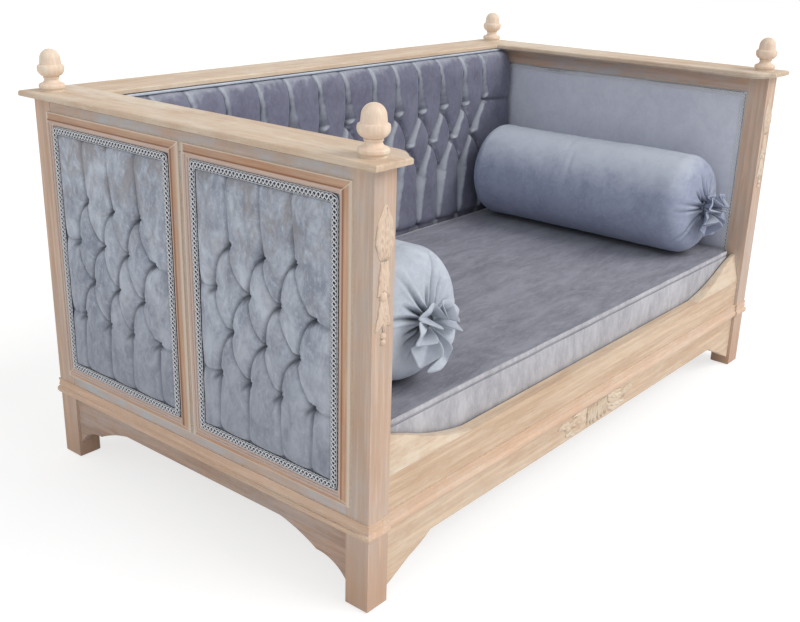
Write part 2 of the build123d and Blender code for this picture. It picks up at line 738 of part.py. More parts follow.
# Mouldings, braid, pads and panels of the ends
frame_inner = mullion_wide / 2 - frame_lap
frame_outer = in_y + frame_lap
rear_frame = [end_plane(out_x, frame_inner, frame_low) * piece for piece in
              framing(frame_section(), frame_outer - frame_inner, frame_high, frame_wide)]
save_pair("panel_moulding", both_ways(group(rear_frame), Plane.XZ))
pad = end_pad()
save_pair("tufted_pad_rear", pad)
save_pair("tufted_pad_front", mirror(pad, about=Plane.XZ))
outer_gimp = [end_plane(out_x + pad_edge, field_inner + clear, field_low + clear) * piece for piece in
              framing(gimp_section(), field_outer - field_inner - 2 * clear,
                      field_high - field_low - 2 * clear, gimp_wide)]
save_pair("outer_gimp", both_ways(group(outer_gimp), Plane.XZ))
inner_plane = Plane(origin=(in_x, in_y - clear, low_rail_top + clear), x_dir=(0, -1, 0), z_dir=(-1, 0, 0))
inner_high = top_rail_low - low_rail_top - 2 * clear
inner_gimp = [inner_plane * piece for piece in
              framing(gimp_section(), 2 * (in_y - clear), inner_high, gimp_wide)]
save_pair("inner_gimp", group(inner_gimp))

# Base moulding and aprons
save_pair("base_moulding", base_moulding_end())
front_base = base_moulding_front()
save("base_moulding_front", front_base)
save("base_moulding_back", mirror(front_base, about=Plane.XZ))
front_outline = apron(in_x, front_apron_low, front_bracket_length, front_bracket_drop, front_bracket_shares)
front_apron = extrude(Plane.XZ.offset(front_face - apron_thick) * front_outline, apron_thick)
save("apron_front", front_apron)
save("apron_back", mirror(front_apron, about=Plane.XZ))
end_outline = apron(in_y, end_apron_low, end_bracket_length, end_bracket_drop, end_bracket_shares)
end_apron = extrude(Plane.YZ.offset(out_x - end_apron_setback - apron_thick) * end_outline, apron_thick)
save_pair("apron", end_apron)
save_pair("post_carving", post_drop())
save("apron_carving", front_plaque())

# Seat
ledger_z = (ledger_low, ledger_low + ledger_high)
ledger_x = (clear - in_x, in_x - clear)
front_ledger = block(ledger_x, (-front_back, ledger_wide - front_back), ledger_z)
back_ledger = block(ledger_x, (back_inner - ledger_wide, back_inner), ledger_z)
save("seat_ledgers", group([front_ledger, back_ledger]))
pitch = (slat_span - slat_wide) / (slat_count - 1)
slat = block((-slat_wide / 2, slat_wide / 2), (slat_gap - front_back, back_inner - slat_gap),
             (ledger_z[1], seat_top))
slats = [Pos((number - (slat_count - 1) / 2) * pitch, 0, 0) * slat for number in range(slat_count)]
save("seat_slats", group(slats))

# Loose mattress and bolsters
save("mattress", mattress())
bolster_axis = mattress_top + clear + bolster_radius
right_x = in_x - bolster_from_end - bolster_radius
left_x = left_from_end + bolster_radius - in_x
for end, x, y, radius in (("right", right_x, bolster_back, right_ruffle_radius),
                          ("left", left_x, bolster_back + left_back, left_ruffle_radius)):
    place = Plane(origin=(x, y, bolster_axis), x_dir=(1, 0, 0), z_dir=(0, -1, 0))
    save(f"bolster_{end}", place * bolster(radius))
    save(f"bolster_tie_{end}", place * tie())
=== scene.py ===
import math
from types import SimpleNamespace

import bmesh
import bpy
import numpy as np
from mathutils import Matrix, Vector, noise

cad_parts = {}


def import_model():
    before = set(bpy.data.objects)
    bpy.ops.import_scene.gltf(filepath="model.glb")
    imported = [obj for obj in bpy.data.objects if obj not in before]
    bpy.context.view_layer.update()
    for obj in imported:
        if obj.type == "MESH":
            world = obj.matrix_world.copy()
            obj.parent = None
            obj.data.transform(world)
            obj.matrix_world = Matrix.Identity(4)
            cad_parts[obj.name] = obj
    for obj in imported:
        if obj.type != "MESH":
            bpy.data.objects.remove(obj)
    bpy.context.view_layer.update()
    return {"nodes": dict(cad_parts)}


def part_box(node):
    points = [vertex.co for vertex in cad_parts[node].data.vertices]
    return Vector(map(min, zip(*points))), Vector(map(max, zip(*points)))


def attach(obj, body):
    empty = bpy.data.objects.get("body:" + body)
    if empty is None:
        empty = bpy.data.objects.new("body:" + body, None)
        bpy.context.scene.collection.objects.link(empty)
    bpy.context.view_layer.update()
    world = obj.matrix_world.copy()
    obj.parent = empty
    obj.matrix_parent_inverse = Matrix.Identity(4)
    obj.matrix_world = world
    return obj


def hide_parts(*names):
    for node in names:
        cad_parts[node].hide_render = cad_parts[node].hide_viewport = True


# A panelled dog bed in limed wood with deep-tufted velvet, seen from its left front corner.
# Lengths are in metres in the frame of the CAD model: +Z up, the front towards -Y.

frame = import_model()
mm = 0.001

# The photograph's camera
camera_place = (-1.6205, -1.2174, 0.9467)
camera_yaw = 39.36
camera_pitch = -20.33
camera_roll = 1.56
photo_wide = 800
photo_focal = 1056.85  # pixels
sensor_wide = 36  # of Blender's camera

# Light
sky_level = 0.53
suns = (  # the way each shines, its strength, its spread in degrees and its colour
    ((-0.35, 0.8, -0.75), 1.75, 38, (1.0, 0.97, 0.93)),
    ((0.9, 0.3, -0.7), 0.42, 45, (0.92, 0.96, 1.0)),
)
floor_reach = 12
floor_keeps = 0.45  # share of the light on the floor that the camera sees
floor_lift = 0.7  # light that the floor gives off, to the camera and reflections alone

# Tufting of the ends and of the back
end_tufting = SimpleNamespace(
    across=67 * mm, down=68 * mm, counts=(3, 4, 3, 4),  # of the tufts
    first=116 * mm,  # row's distance below the top of the field
    step=1.9 * mm,  # of the mesh
    puff=10 * mm, crease=2.4 * mm, pit=7 * mm, pit_radius=6.5 * mm,
    reach=31 * mm,  # from a crease to the top of its puff
    bends=((0.02, 0.62), (0.85, 0.25)),  # control points, as shares of the run, of pleats down right and left
    depths=((0.85, 1.0), (1.3, 0.9), (1, 0.35)),  # of those pleats and of the ones to an edge, at both ends
    middle=0.5,  # share of its depth that a pleat keeps half way
    leaning=0.42, puckered=0.12, tail_shadow=0.75, facet=0)
back_tufting = SimpleNamespace(
    across=80 * mm, down=71 * mm, counts=(13, 12, 13), first=106 * mm, step=3.0 * mm,
    puff=21 * mm, crease=3 * mm, pit=6 * mm, pit_radius=9 * mm, reach=37 * mm,
    bends=((0.66, 0.34), (0.45, 0.55)), depths=((0.55, 0.25), (0.3, 1.35), (1.25, 0.1)),
    middle=0.6, leaning=0.6, puckered=0.04, tail_shadow=0.0, facet=22 * mm)  # facet: width of a pleat's flat side
pleat_points = 9
crease_half = 2.6 * mm
tuft_stray = 0.05  # of the spacing

# Pads of the ends
end_field = ((0.0243, 0.3197), (0.1843, 0.6157))  # of |y| and of z
end_sunk = 8.5 * mm  # from the crown to the edge under the braid
end_margin = 12 * mm  # of the pad that the braid covers
end_edge = 24 * mm

# Pad of the back
back_top = 651 * mm  # just under the cap
back_top_fall = 25 * mm  # from the crown back to the cap's front edge
back_top_edge = 44 * mm
back_edge = 26 * mm
back_sunk = 22 * mm
back_least = 5 * mm  # of its thickness
back_foot = 277 * mm  # where the pad rolls in behind the mattress
back_foot_edge = 16 * mm
back_foot_sunk = 9 * mm
welt_radius = 2.6 * mm  # of the cord of velvet sewn along its top
welt_steps, welt_sides = 200, 10
welt_place = (288.3 * mm, 654.2 * mm)  # y and z

# Flat panels inside the ends
panel_grid = (130, 90)
panel_puff = 1.5 * mm
panel_edge = 30 * mm
panel_wave = 0.5 * mm

# Mattress
mattress_step = 5 * mm
mattress_round = 9 * mm
mattress_corner = 20 * mm
mattress_crown = 4 * mm
mattress_bulge = 2.5 * mm
seam_below = 13 * mm
seam_deep = 2.2 * mm
seam_half = 1.6 * mm
seam_lip = 0.8 * mm  # how far the edge above the seam stands out
side_wave, side_wrinkle, side_inset = 1.1 * mm, 0.6 * mm, 1.7 * mm
top_wave, top_wrinkle = 1.3 * mm, 0.5 * mm

# Bolsters
bolster_sectors = 300
bolster_gather = 52 * mm
bolster_shoulder = 45 * mm
bolster_flat = 5 * mm  # of sag where it rests
bolster_round = 30 * mm
neck_radius = 14 * mm
tie_radius = 2.2 * mm
tie_steps, tie_sides = 72, 10
tie_shade = 0.35
cover_wave, cover_wrinkle, cover_inset = 2.2 * mm, 0.7 * mm, 2.4 * mm
slack_folds = ((1.9, 0.42), (2.5, 0.47), (1.1, 0.55))  # angle, and place as a share of the length
slack_deep = 1.6 * mm
# Creases of a gathered end: how many, how deep and how long
bolster_folds = {"left": (15, 9 * mm, 125 * mm), "right": (18, 7 * mm, 112 * mm)}
# Ruffles: radius, petals, droop and seed
ruffles = {"left": (61 * mm, 7, 9 * mm, 21), "right": (51 * mm, 8, 5 * mm, 24)}
ruffle_cut = 53 * mm  # from the tie to the cloth's edge
ruffle_rows = 22
ruffle_thick = 1.6 * mm

# Braid: two strands that wave over a ribbon, between two cords
braid_pitch = 15 * mm  # of a strand's wave: strands cross twice in it
braid_steps = 10
braid_half = 3.8 * mm  # how far a strand waves to each side
braid_rise = 0.7 * mm  # and up and down
strand_half = (1.15 * mm, 0.9 * mm)  # half its width and its thickness
ribbon_half = (5.6 * mm, 0.5 * mm)
ribbon_under = 1.2 * mm  # below the strands' middle
cord_radius = 0.6 * mm  # of the cords at the edges
cord_under = 0.3 * mm
cord_beside = 1.3 * mm  # past the strands' wave
cord_scallop = 0.9 * mm
braid_margin = 6.2 * mm  # from its middle to the edge of its field
braid_corner = 4 * mm
braid_corner_steps = 8
outer_braid_sunk = 0.4 * mm  # from the face of the CAD's braid to the strands' middle
inner_braid_sunk = 1.0 * mm

# Wood
wood_bevel = 1.1 * mm  # takes the sharpness off its edges
grain_shift = 1.7  # from one node to the next
bead_wide = 10.5 * mm  # of a moulding's outer bead, inward from the frame's edge
moulding_mitre = (172 * mm, 168 * mm, 400 * mm, 236 * mm)  # middle and half of a frame in y, then in z
leaf_grid = (30, 17)
knob_rings, knob_sides = 8, 24


def srgb(red, green, blue):
    """A colour read off as 0 to 255, in Blender's linear values."""
    shares = [value / 255 for value in (red, green, blue)]
    return tuple(s / 12.92 if s <= 0.04045 else ((s + 0.055) / 1.055) ** 2.4 for s in shares) + (1.0,)


# Materials

class Nodes:
    """The nodes of a material or a world, made and joined by short calls."""

    def __init__(self, made, shader):
        made.use_nodes = True
        self.tree = made.node_tree
        self.shader = self.tree.nodes[shader]

    def node(self, kind, inputs=None, **settings):
        made = self.tree.nodes.new("ShaderNode" + kind)
        for key, value in settings.items():
            setattr(made, key, value)
        for key, value in (inputs or {}).items():
            self.put(made.inputs[key], value)
        return made

    def put(self, socket, value):
        if isinstance(value, bpy.types.NodeSocket):
            self.tree.links.new(value, socket)
        else:
            socket.default_value = value

    def set(self, **values):
        """Sockets of the shader, their names with underscores for spaces."""
        for key, value in values.items():
            self.put(self.shader.inputs[key.replace("_", " ")], value)

    def ramp(self, factor, low, high, start=0.0, end=1.0):
        return self.node("MapRange", {"Value": factor, "From Min": low, "From Max": high,
                                      "To Min": start, "To Max": end}, clamp=True).outputs[0]

    def math(self, kind, first, second=0.0):
        return self.node("Math", {0: first, 1: second}, operation=kind).outputs[0]

    def apart(self, first, second):
        return self.math("ABSOLUTE", self.math("SUBTRACT", first, second))


class Paint(Nodes):
    """A material, painted in the object's own coordinates."""

    def __init__(self, name):
        self.material = bpy.data.materials.new(name)
        super().__init__(self.material, "Principled BSDF")
        self.place = self.node("TexCoord").outputs["Object"]

    def noise(self, scale, detail, rough=0.55, stretch=(1, 1, 1), shift=0, warp=0):
        spot = self.node("Mapping", {"Vector": self.place, "Scale": stretch, "Location": [shift] * 3})
        return self.node("TexNoise", {"Vector": spot.outputs[0], "Scale": scale, "Detail": detail,
                                      "Roughness": rough, "Distortion": warp}).outputs[0]

    def mix(self, factor, first, second, blend="MIX"):
        made = self.node("Mix", {0: factor, 6: first, 7: second}, data_type="RGBA", blend_type=blend)
        return made.outputs[2]

    def lay(self, colour, *layers):
        """A colour under layers. Each has a pattern, the span of it over which the layer's strength goes
        from one value to another, and a colour."""
        for pattern, low, high, start, end, over in layers:
            colour = self.mix(self.ramp(pattern, low, high, start, end), colour, over)
        return colour

    def bump(self, height, distance, strength, under=None):
        made = self.node("Bump", {"Height": height, "Distance": distance, "Strength": strength})
        if under is not None:
            self.put(made.inputs["Normal"], under)
        return made.outputs[0]

    def swap_mitred(self, centre_y, half_y, centre_z, half_z):
        """Turns the grain along y on the level members of mitred frames. It gives a mark on their mitres,
        how far in from the frame's outer edge a point lies and whether its member is level."""
        split = self.node("SeparateXYZ", {"Vector": self.place}).outputs
        from_side = self.math("SUBTRACT", half_y, self.apart(self.math("ABSOLUTE", split[1]), centre_y))
        from_end = self.math("SUBTRACT", half_z, self.apart(split[2], centre_z))
        level = self.math("GREATER_THAN", from_side, from_end)
        turned = self.node("CombineXYZ", {"X": split[0], "Y": split[2], "Z": split[1]}).outputs[0]
        self.place = self.node("Mix", {0: level, 4: self.place, 5: turned}, data_type="VECTOR").outputs[1]
        seam = self.ramp(self.apart(from_side, from_end), 0.4 * mm, 1.6 * mm, 1, 0)
        return seam, self.math("MINIMUM", from_side, from_end), level

    def up(self):
        """How high a point lies."""
        return self.node("SeparateXYZ", {"Vector": self.place}).outputs[2]

    def facing(self, way):
        """How squarely the surface faces a way of the room."""
        normal = self.node("NewGeometry").outputs["Normal"]
        return self.node("VectorMath", {0: normal, 1: way}, operation="DOT_PRODUCT").outputs["Value"]

    def stored(self, name):
        """A number that the mesh keeps at each point."""
        return self.node("Attribute", attribute_name=name).outputs["Fac"]

    def crevice(self, reach):
        """1 in the open, down to 0 in corners and grooves narrower than reach."""
        return self.node("AmbientOcclusion", {"Distance": reach}, samples=6).outputs["AO"]


def toned(colour, share):
    """A colour made darker or paler, short of white."""
    return tuple(min(value * share, 0.9) for value in colour[:3]) + (1.0,)


def wood(name, axis, ground, streak, lime, limed, shift, mitre, foot):
    """Pale open-grained wood along an axis, with lime paste left in the grain and in the corners, and painted
    shade in its narrow grooves.
    """
    paint = Paint(name)
    if mitre:
        seam, inward, level = paint.swap_mitred(*mitre)

    def grain(scale, detail, rough, along, aside, warp=0):
        stretch = [along if axis == other else 1 for other in "xyz"]
        return paint.noise(scale, detail, rough, stretch, shift + aside, warp)

    fine = grain(330, 3, 0.62, 0.05, 0)
    lines = grain(130, 3, 0.62, 0.04, 2, 0.4)
    bands = grain(42, 4, 0.6, 0.08, 3, 0.9)
    clouds = paint.ramp(grain(9, 4, 0.65, 0.3, 7), 0.38, 0.62, 0.25, 1)
    patches = paint.ramp(grain(38, 4, 0.7, 0.5, 9), 0.34, 0.6, 0.35, 1)
    colour = paint.lay(ground, (bands, 0.38, 0.64, 0, 0.62, streak), (lines, 0.5, 0.66, 0, 0.6, streak),
                       (fine, 0.48, 0.7, 0, 0.5, streak), (lines, 0.36, 0.48, 0.55, 0, toned(ground, 1.22)))
    washed = paint.math("MULTIPLY", paint.math("MULTIPLY", clouds, limed), patches)
    colour = paint.mix(washed, colour, lime)
    corner = paint.ramp(paint.crevice(11 * mm), 0.3, 0.9, 0.85, 0)
    speck = paint.ramp(paint.noise(210, 3, 0.7, shift=shift), 0.38, 0.56, 0.25, 1)
    colour = paint.mix(paint.math("MULTIPLY", corner, speck), colour, lime_white)
    # Painted shade in grooves and corners narrower than 4 mm, and fine flecks of lime over all
    colour = paint.lay(colour, (paint.crevice(4 * mm), 0.1, 0.45, 0.7, 0, groove_shade),
                       (grain(800, 2, 0.5, 0.05, 11), 0.6, 0.7, 0, 0.4, lime))
    if mitre:
        quirk = paint.apart(inward, bead_wide)
        edge = paint.math("MULTIPLY", inward, paint.math("ADD", paint.math("MULTIPLY", level, 2.0), 1.0))
        # Paler inside the bead, a dark line of painted shade along the quirk beside it, and whiter towards
        # the frame's outer edge
        colour = paint.lay(colour, (inward, bead_wide, bead_wide + 3 * mm, 0, 0.6, band_pale),
                           (quirk, 0.4 * mm, 1.3 * mm, 0.75, 0, quirk_shade),
                           (edge, 3 * mm, 6 * mm, 0.7, 0, lime_white))
        colour = paint.mix(paint.math("MULTIPLY", seam, 0.75), colour, lime_white)
    # Posts grow darker towards the floor
    if foot:
        colour = paint.lay(colour, (paint.up(), 0.02, 0.15, 0.75, 0, foot))
    relief = paint.bump(lines, 0.7 * mm, 0.4, paint.bump(fine, 0.5 * mm, 0.6))
    paint.set(Base_Color=colour, Roughness=paint.ramp(bands, 0.3, 0.7, 0.48, 0.66), Normal=relief)
    paint.set(Specular_IOR_Level=0.35)
    return paint.material


def velvet(name, ground, nap, crush, streaks, shift, lit=None, stain=None, shade_below=None):
    """Short-pile velvet: a darker ground, paler where the pile is brushed, painted shade in the folds, soft
    sheen.
    """
    paint = Paint(name)
    broad = paint.noise(10, 5, 0.66, streaks, shift, 0.9)
    small = paint.noise(42, 5, 0.7, streaks, shift + 5, 0.7)
    dust = paint.noise(150, 4, 0.7, streaks, shift + 8)
    pile = paint.noise(1500, 2, 0.6, shift=shift)
    brushed = paint.math("ADD", paint.math("MULTIPLY", broad, 0.5), paint.math("MULTIPLY", small, 0.5))
    colour = paint.lay(ground, (brushed, 0.4, 0.6, 0, crush, nap), (dust, 0.52, 0.68, 0, 0.7 * crush, nap),
                       (pile, 0.35, 0.7, 0, 0.15, nap))
    if stain:
        spot, low, high = stain
        blotch = paint.ramp(paint.noise(24, 4, 0.7, (1, 1, 0.7), shift + 2, 0.6), 0.47, 0.6)
        stained = paint.math("MULTIPLY", paint.ramp(paint.up(), low, high, 0.12, 0.75), blotch)
        colour = paint.mix(stained, colour, spot)
    # Painted shade: darker towards the bottom
    if shade_below:
        shade_below_colour, low, high = shade_below
        colour = paint.lay(colour, (paint.up(), low, high, 0.55, 0, shade_below_colour))
    # Painted light: paler on the faces that look towards the way given
    if lit:
        way, bright, low, high = lit
        faced = paint.math("ADD", paint.facing(way), paint.ramp(small, 0.3, 0.7, -0.08, 0.08))
        colour = paint.lay(colour, (faced, low, high, 0, 0.85, bright))
    # Painted shade: darker where the mesh stores fold shade, and in corners narrower than 16 mm
    shade = toned(ground, 0.2)
    colour = paint.mix(paint.math("MULTIPLY", paint.stored("fold"), 0.85), colour, shade)
    colour = paint.lay(colour, (paint.crevice(16 * mm), 0.15, 0.7, 0.6, 0, shade))
    relief = paint.bump(small, 1.2 * mm, 0.5, paint.bump(pile, 0.5 * mm, 0.6))
    paint.set(Base_Color=colour, Roughness=0.85, Normal=relief, Sheen_Weight=0.35, Sheen_Roughness=0.35)
    paint.set(Sheen_Tint=nap_sheen, Specular_IOR_Level=0.15)
    return paint.material


def thread(name, ground, pale, dark):
    """Twisted silver-grey thread of the braid, with painted shade in its gaps and on the ribbon under it."""
    paint = Paint(name)
    twist = paint.noise(600, 3, 0.6)
    # Paler twist, then painted shade in gaps narrower than 3 mm and where the mesh stores it
    colour = paint.lay(ground, (twist, 0.35, 0.65, 0, 1, pale),
                       (paint.crevice(3 * mm), 0.2, 0.8, 0.7, 0, dark))
    colour = paint.mix(paint.stored("fold"), colour, dark)
    paint.set(Base_Color=colour, Roughness=0.55, Normal=paint.bump(twist, 0.4 * mm, 0.7), Sheen_Weight=0.3)
    paint.set(Sheen_Roughness=0.4, Specular_IOR_Level=0.45)
    return paint.material


lime_white = srgb(226, 216, 200)
lime_grey = srgb(190, 186, 182)
lime_cool = srgb(186, 188, 192)
tan = srgb(206, 180, 153)
tan_dark = srgb(184, 150, 122)
pink_brown = srgb(203, 165, 136)
blush = srgb(208, 176, 152)
cream = srgb(240, 216, 196)
cream_dark = srgb(226, 196, 172)
rust = srgb(184, 134, 100)
carved = srgb(216, 186, 166)
umber = srgb(184, 150, 126)
umber_dark = srgb(152, 120, 98)
pine = srgb(205, 172, 128)
pine_dark = srgb(176, 138, 96)
groove_shade = srgb(96, 84, 78)
band_pale = srgb(212, 196, 190)
quirk_shade = srgb(138, 92, 66)
nap_sheen = srgb(225, 232, 245)

tans = (tan, tan_dark, lime_white)
rails = (pink_brown, tan_dark, lime_cool)
blushes = (blush, pink_brown, lime_white)
pines = (pine, pine_dark, lime_white)

# How each wooden node is finished: the axis of its grain, its ground, streak and lime colours, and how much
# lime lies on it. The first name here that a node's name starts with holds
finishes = {
    "cap_back": ("x", tans, 0.75),
    "cap_": ("y", tans, 0.75),
    "post_carving": ("z", (carved, tan, lime_white), 0.85),
    "post_": ("z", (blush, umber, lime_grey), 0.62),
    "end_top_rail": ("y", rails, 1.15),
    "end_bottom_rail": ("y", rails, 1.0),
    "end_mullion": ("z", rails, 1.1),
    "panel_moulding": ("z", (pink_brown, rust, lime_grey), 0.3),
    "front_rail": ("x", tans, 0.35),
    "rail_wing": ("x", tans, 0.9),
    "base_moulding_front": ("x", blushes, 0.4),
    "base_moulding_back": ("x", blushes, 0.4),
    "base_moulding": ("y", blushes, 0.35),
    "apron_carving": ("x", tans, 0.95),
    "apron_front": ("x", tans, 0.4),
    "apron_back": ("x", tans, 0.4),
    "apron_": ("y", (umber, umber_dark, lime_cool), 0.45),
    "finial_dowels": ("z", pines, 0.1),
    "finial_": ("z", (cream, cream_dark, lime_white), 0.4),
    "back_stile": ("z", pines, 0.2),
    "back_outer_panel": ("x", (tan, tan_dark, lime_grey), 0.6),
    "back_": ("x", pines, 0.2),
    "end_board": ("z", pines, 0.1),
    "seat_ledgers": ("x", pines, 0.05),
    "seat_slats": ("y", pines, 0.05),
}

# Carved leaves (root, tip, width, height, bow, veins) and knobs (centre, radius, height) in mm from the
# middle of a carving's top. Those of the apron are its right half, and the other half mirrors them
carvings = {
    "post_carving": (
        ("leaf", (0, -76), (1, -2), 35, 3.0, 0, 4), ("leaf", (-3, -74), (-2, -12), 17, 4.9, -7, 5),
        ("leaf", (4, -74), (8, -22), 14, 4.6, 5, 4), ("leaf", (0, -75), (3, -6), 10, 5.2, 0, 6),
        ("leaf", (-2, -78), (-12, -124), 19, 4.8, -7, 3), ("leaf", (3, -78), (11, -128), 19, 4.4, 7, 4),
        ("knob", (-1, -126), 7, 4.8), ("leaf", (-1, -130), (-15, -172), 19, 4.6, -6, 3),
        ("leaf", (2, -130), (14, -170), 18, 4.4, 6, 3), ("leaf", (0, -132), (2, -178), 12, 5, 0, 4),
        ("knob", (4, -152), 2.4, 5.4), ("knob", (0, -181), 5, 4.4), ("knob", (0, -190), 4.5, 4)),
    "apron_carving": (
        ("leaf", (7, -3), (8, -44), 15, 5, 0, 1), ("leaf", (19, -3), (21, -43), 13, 5, 2, 1),
        ("leaf", (30, -3), (34, -40), 13, 5, 3, 1), ("leaf", (38, -8), (100, -18), 22, 4.6, 6, 4),
        ("leaf", (38, -26), (108, -36), 19, 4.4, 5, 4), ("leaf", (92, -22), (136, -14), 15, 4, -4, 3),
        ("knob", (105, -22), 7, 4.8), ("leaf", (44, -3), (88, -5), 8, 3.6, 2, 2)),
}


def finish_wood():
    """Gives each wooden node its own material, with its grain shifted so that no two match."""
    for number, (name, node) in enumerate(sorted(frame["nodes"].items())):
        kind = next((key for key in finishes if name.startswith(key)), None)
        if kind is None:
            continue
        axis, colours, limed = finishes[kind]
        mitre = moulding_mitre if kind == "panel_moulding" else None
        foot = umber if kind == "post_" else None
        material = wood(f"wood_{name}", axis, *colours, limed, number * grain_shift, mitre, foot)
        node.data.materials.clear()
        node.data.materials.append(material)
        if not name.startswith(("finial", "cap_", "post_carving", "apron_carving")):
            soften(node)
        if kind in carvings:
            carve(node, kind, material)


def soften(node):
    """Takes the sharpness off a wooden node's edges without touching its mesh."""
    weld = node.modifiers.new("weld", "WELD")
    weld.merge_threshold = 0.02 * mm
    bevel = node.modifiers.new("bevel", "BEVEL")
    bevel.width = wood_bevel
    bevel.segments = 2
    bevel.limit_method = "ANGLE"
    bevel.angle_limit = math.radians(32)


# Meshes

def add(name, data):
    """A new object of the scene."""
    made = bpy.data.objects.new(name, data)
    bpy.context.scene.collection.objects.link(made)
    return made


def piece(name, vertices, faces, material, body, slot, folds=None):
    """A mesh that rides on a body, its faces turned outwards; folds is how much painted shade each point
    gets.
    """
    mesh = bpy.data.meshes.new(name)
    mesh.from_pydata(np.asarray(vertices, float).tolist(), [], [list(map(int, face)) for face in faces])
    work = bmesh.new()
    work.from_mesh(mesh)
    bmesh.ops.recalc_face_normals(work, faces=work.faces)
    work.to_mesh(mesh)
    work.free()
    mesh.polygons.foreach_set("use_smooth", [True] * len(mesh.polygons))
    mesh.materials.append(material)
    if folds is not None:
        kept = np.zeros(len(vertices), np.float32)
        kept[:len(folds)] = np.clip(folds, 0, 1)
        mesh.attributes.new("fold", "FLOAT", "POINT").data.foreach_set("value", kept)
    made = add(name, mesh)
    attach(made, body)
    return made


def grid_faces(rows, columns, wrap_rows=False, wrap_columns=False):
    """Quads of a grid of points numbered row by row, closed on itself where it wraps."""
    index = np.arange(rows * columns).reshape(rows, columns)
    if wrap_rows:
        index = np.vstack([index, index[:1]])
    if wrap_columns:
        index = np.hstack([index, index[:, :1]])
    return np.stack([index[:-1, :-1], index[1:, :-1], index[1:, 1:], index[:-1, 1:]], -1).reshape(-1, 4)


def capped(rows, columns):
    """The faces of a tube of points numbered ring by ring, closed at both ends."""
    ring = np.arange(columns)
    return [*grid_faces(rows, columns, wrap_columns=True), ring, (rows - 1) * columns + ring]


def joined(parts):
    """Several sets of points and faces as one."""
    faces, first = [], 0
    for points, own in parts:
        faces += [np.asarray(face) + first for face in own]
        first += len(points)
    return np.vstack([points for points, own in parts]), faces


def circle(count):
    """Angles evenly spaced round a circle."""
    return np.linspace(0, 2 * math.pi, count, endpoint=False)


def border(rows, columns):
    """The numbers of a grid's outer points, in order round it."""
    index = np.arange(rows * columns).reshape(rows, columns)
    return np.concatenate([index[0, :-1], index[:-1, -1], index[-1, :0:-1], index[:0:-1, 0]])


def slab(front, back_axis, back_level):
    """A closed body: a grid of points in front, its rim run back to a level, and a flat back."""
    rows, columns = front.shape[:2]
    points = front.reshape(-1, 3)
    ring = border(rows, columns)
    rim = points[ring].copy()
    rim[:, back_axis] = back_level
    numbers = len(points) + np.arange(len(ring))
    sides = np.stack([ring, np.roll(ring, -1), np.roll(numbers, -1), numbers], -1)
    faces = [*grid_faces(rows, columns), *sides, numbers]
    return np.vstack([points, rim]), faces


def leaf(place, root, tip, wide, high, bow, veins):
    """A carved leaf from root to tip on an upright face that looks to the front: points and faces.
    Lengths are in mm, across and up from a place on the face."""
    root, tip = np.array(root), np.array(tip)
    run = tip - root
    aside = np.array((run[1], -run[0])) / np.hypot(*run)
    rows, columns = leaf_grid
    t, s = np.meshgrid(np.linspace(0, 1, rows), np.linspace(-1, 1, columns), indexing="ij")
    half = wide / 2 * np.sin(math.pi * (0.06 + 0.92 * t) ** 0.8) ** 0.75 * (1 + 0.07 * np.cos(18 * t))
    middle = root + t[..., None] * run + bow * np.sin(math.pi * t)[..., None] * aside
    flat = middle + (half * s)[..., None] * aside
    rise = high * np.sqrt(1 - 0.92 * s ** 2) * (0.35 + 0.65 * np.sin(math.pi * (0.1 + 0.85 * t)))
    rise -= 0.5 * high * np.exp(-(s / 0.13) ** 2) * (1 - t)
    rise -= 0.34 * high * (0.5 + 0.5 * np.cos(2 * math.pi * (veins * t + 1.1 * np.abs(s)))) * (1 - s ** 2)
    front = np.stack([place[0] + flat[..., 0] * mm, place[1] - np.maximum(rise, 0.15) * mm,
                      place[2] + flat[..., 1] * mm], -1)
    return slab(front, 1, place[1])


def knob(place, centre, radius, high):
    """A carved bead or the eye of a scroll on the same face."""
    r, turn = np.meshgrid(np.linspace(0.04, 1, knob_rings) * radius, circle(knob_sides), indexing="ij")
    rise = high * np.sqrt(1 - (r / radius) ** 2 * 0.98)
    points = np.stack([place[0] + (centre[0] + r * np.cos(turn)) * mm, place[1] - rise * mm,
                       place[2] + (centre[1] + r * np.sin(turn)) * mm], -1).reshape(-1, 3)
    rim = points[-knob_sides:] * (1, 0, 1) + (0, place[1], 0)
    return np.vstack([points, rim]), capped(knob_rings + 1, knob_sides)


def carve(node, kind, material):
    """Puts modelled carving in the place of a carving's plain blank."""
    low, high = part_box(node.name)
    place = ((low.x + high.x) / 2, high.y, high.z)
    turns = (1 if low.x < 0 else -1,) if kind == "post_carving" else (1, -1)
    parts = []
    for shape, *sizes in carvings[kind]:
        for turn in turns:
            turned = [(size[0] * turn, size[1]) if isinstance(size, tuple) else size for size in sizes]
            if shape == "leaf":
                turned[4] *= turn
            parts.append((leaf if shape == "leaf" else knob)(place, *turned))
    made = piece(f"carved_{node.name}", *joined(parts), material, "frame", "limed_wood")
    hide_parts(node.name)


def wander(points, size, seed):
    """Smooth random heights from -1 to 1 over points, with bumps about size across."""
    shift = Vector((seed * 3.1, seed * 1.7, seed * 0.9))
    return np.array([noise.noise(Vector(point) / size + shift) for point in points])


# Tufting

def bent(start, end, bend):
    """A pleat as points from start to end, drawn aside by a control point given as shares of its run."""
    start, end = np.array(start), np.array(end)
    control = start + (end - start) * np.array(bend)
    t = np.linspace(0, 1, pleat_points)[:, None]
    return (1 - t) ** 2 * start + 2 * t * (1 - t) * control + t ** 2 * end


def tuft_rows(kind, top, seed):
    """Places of the tufts, row by row, each strayed a little as a hand leaves it."""
    chance = np.random.default_rng(seed)
    rows = []
    for row, count in enumerate(kind.counts):
        start = -(count - 1) * kind.across / 2
        stray = chance.uniform(-1, 1, (count, 2)) * tuft_stray * kind.across
        rows.append([np.array((start + place * kind.across, top - row * kind.down)) + stray[place]
                     for place in range(count)])
    return rows


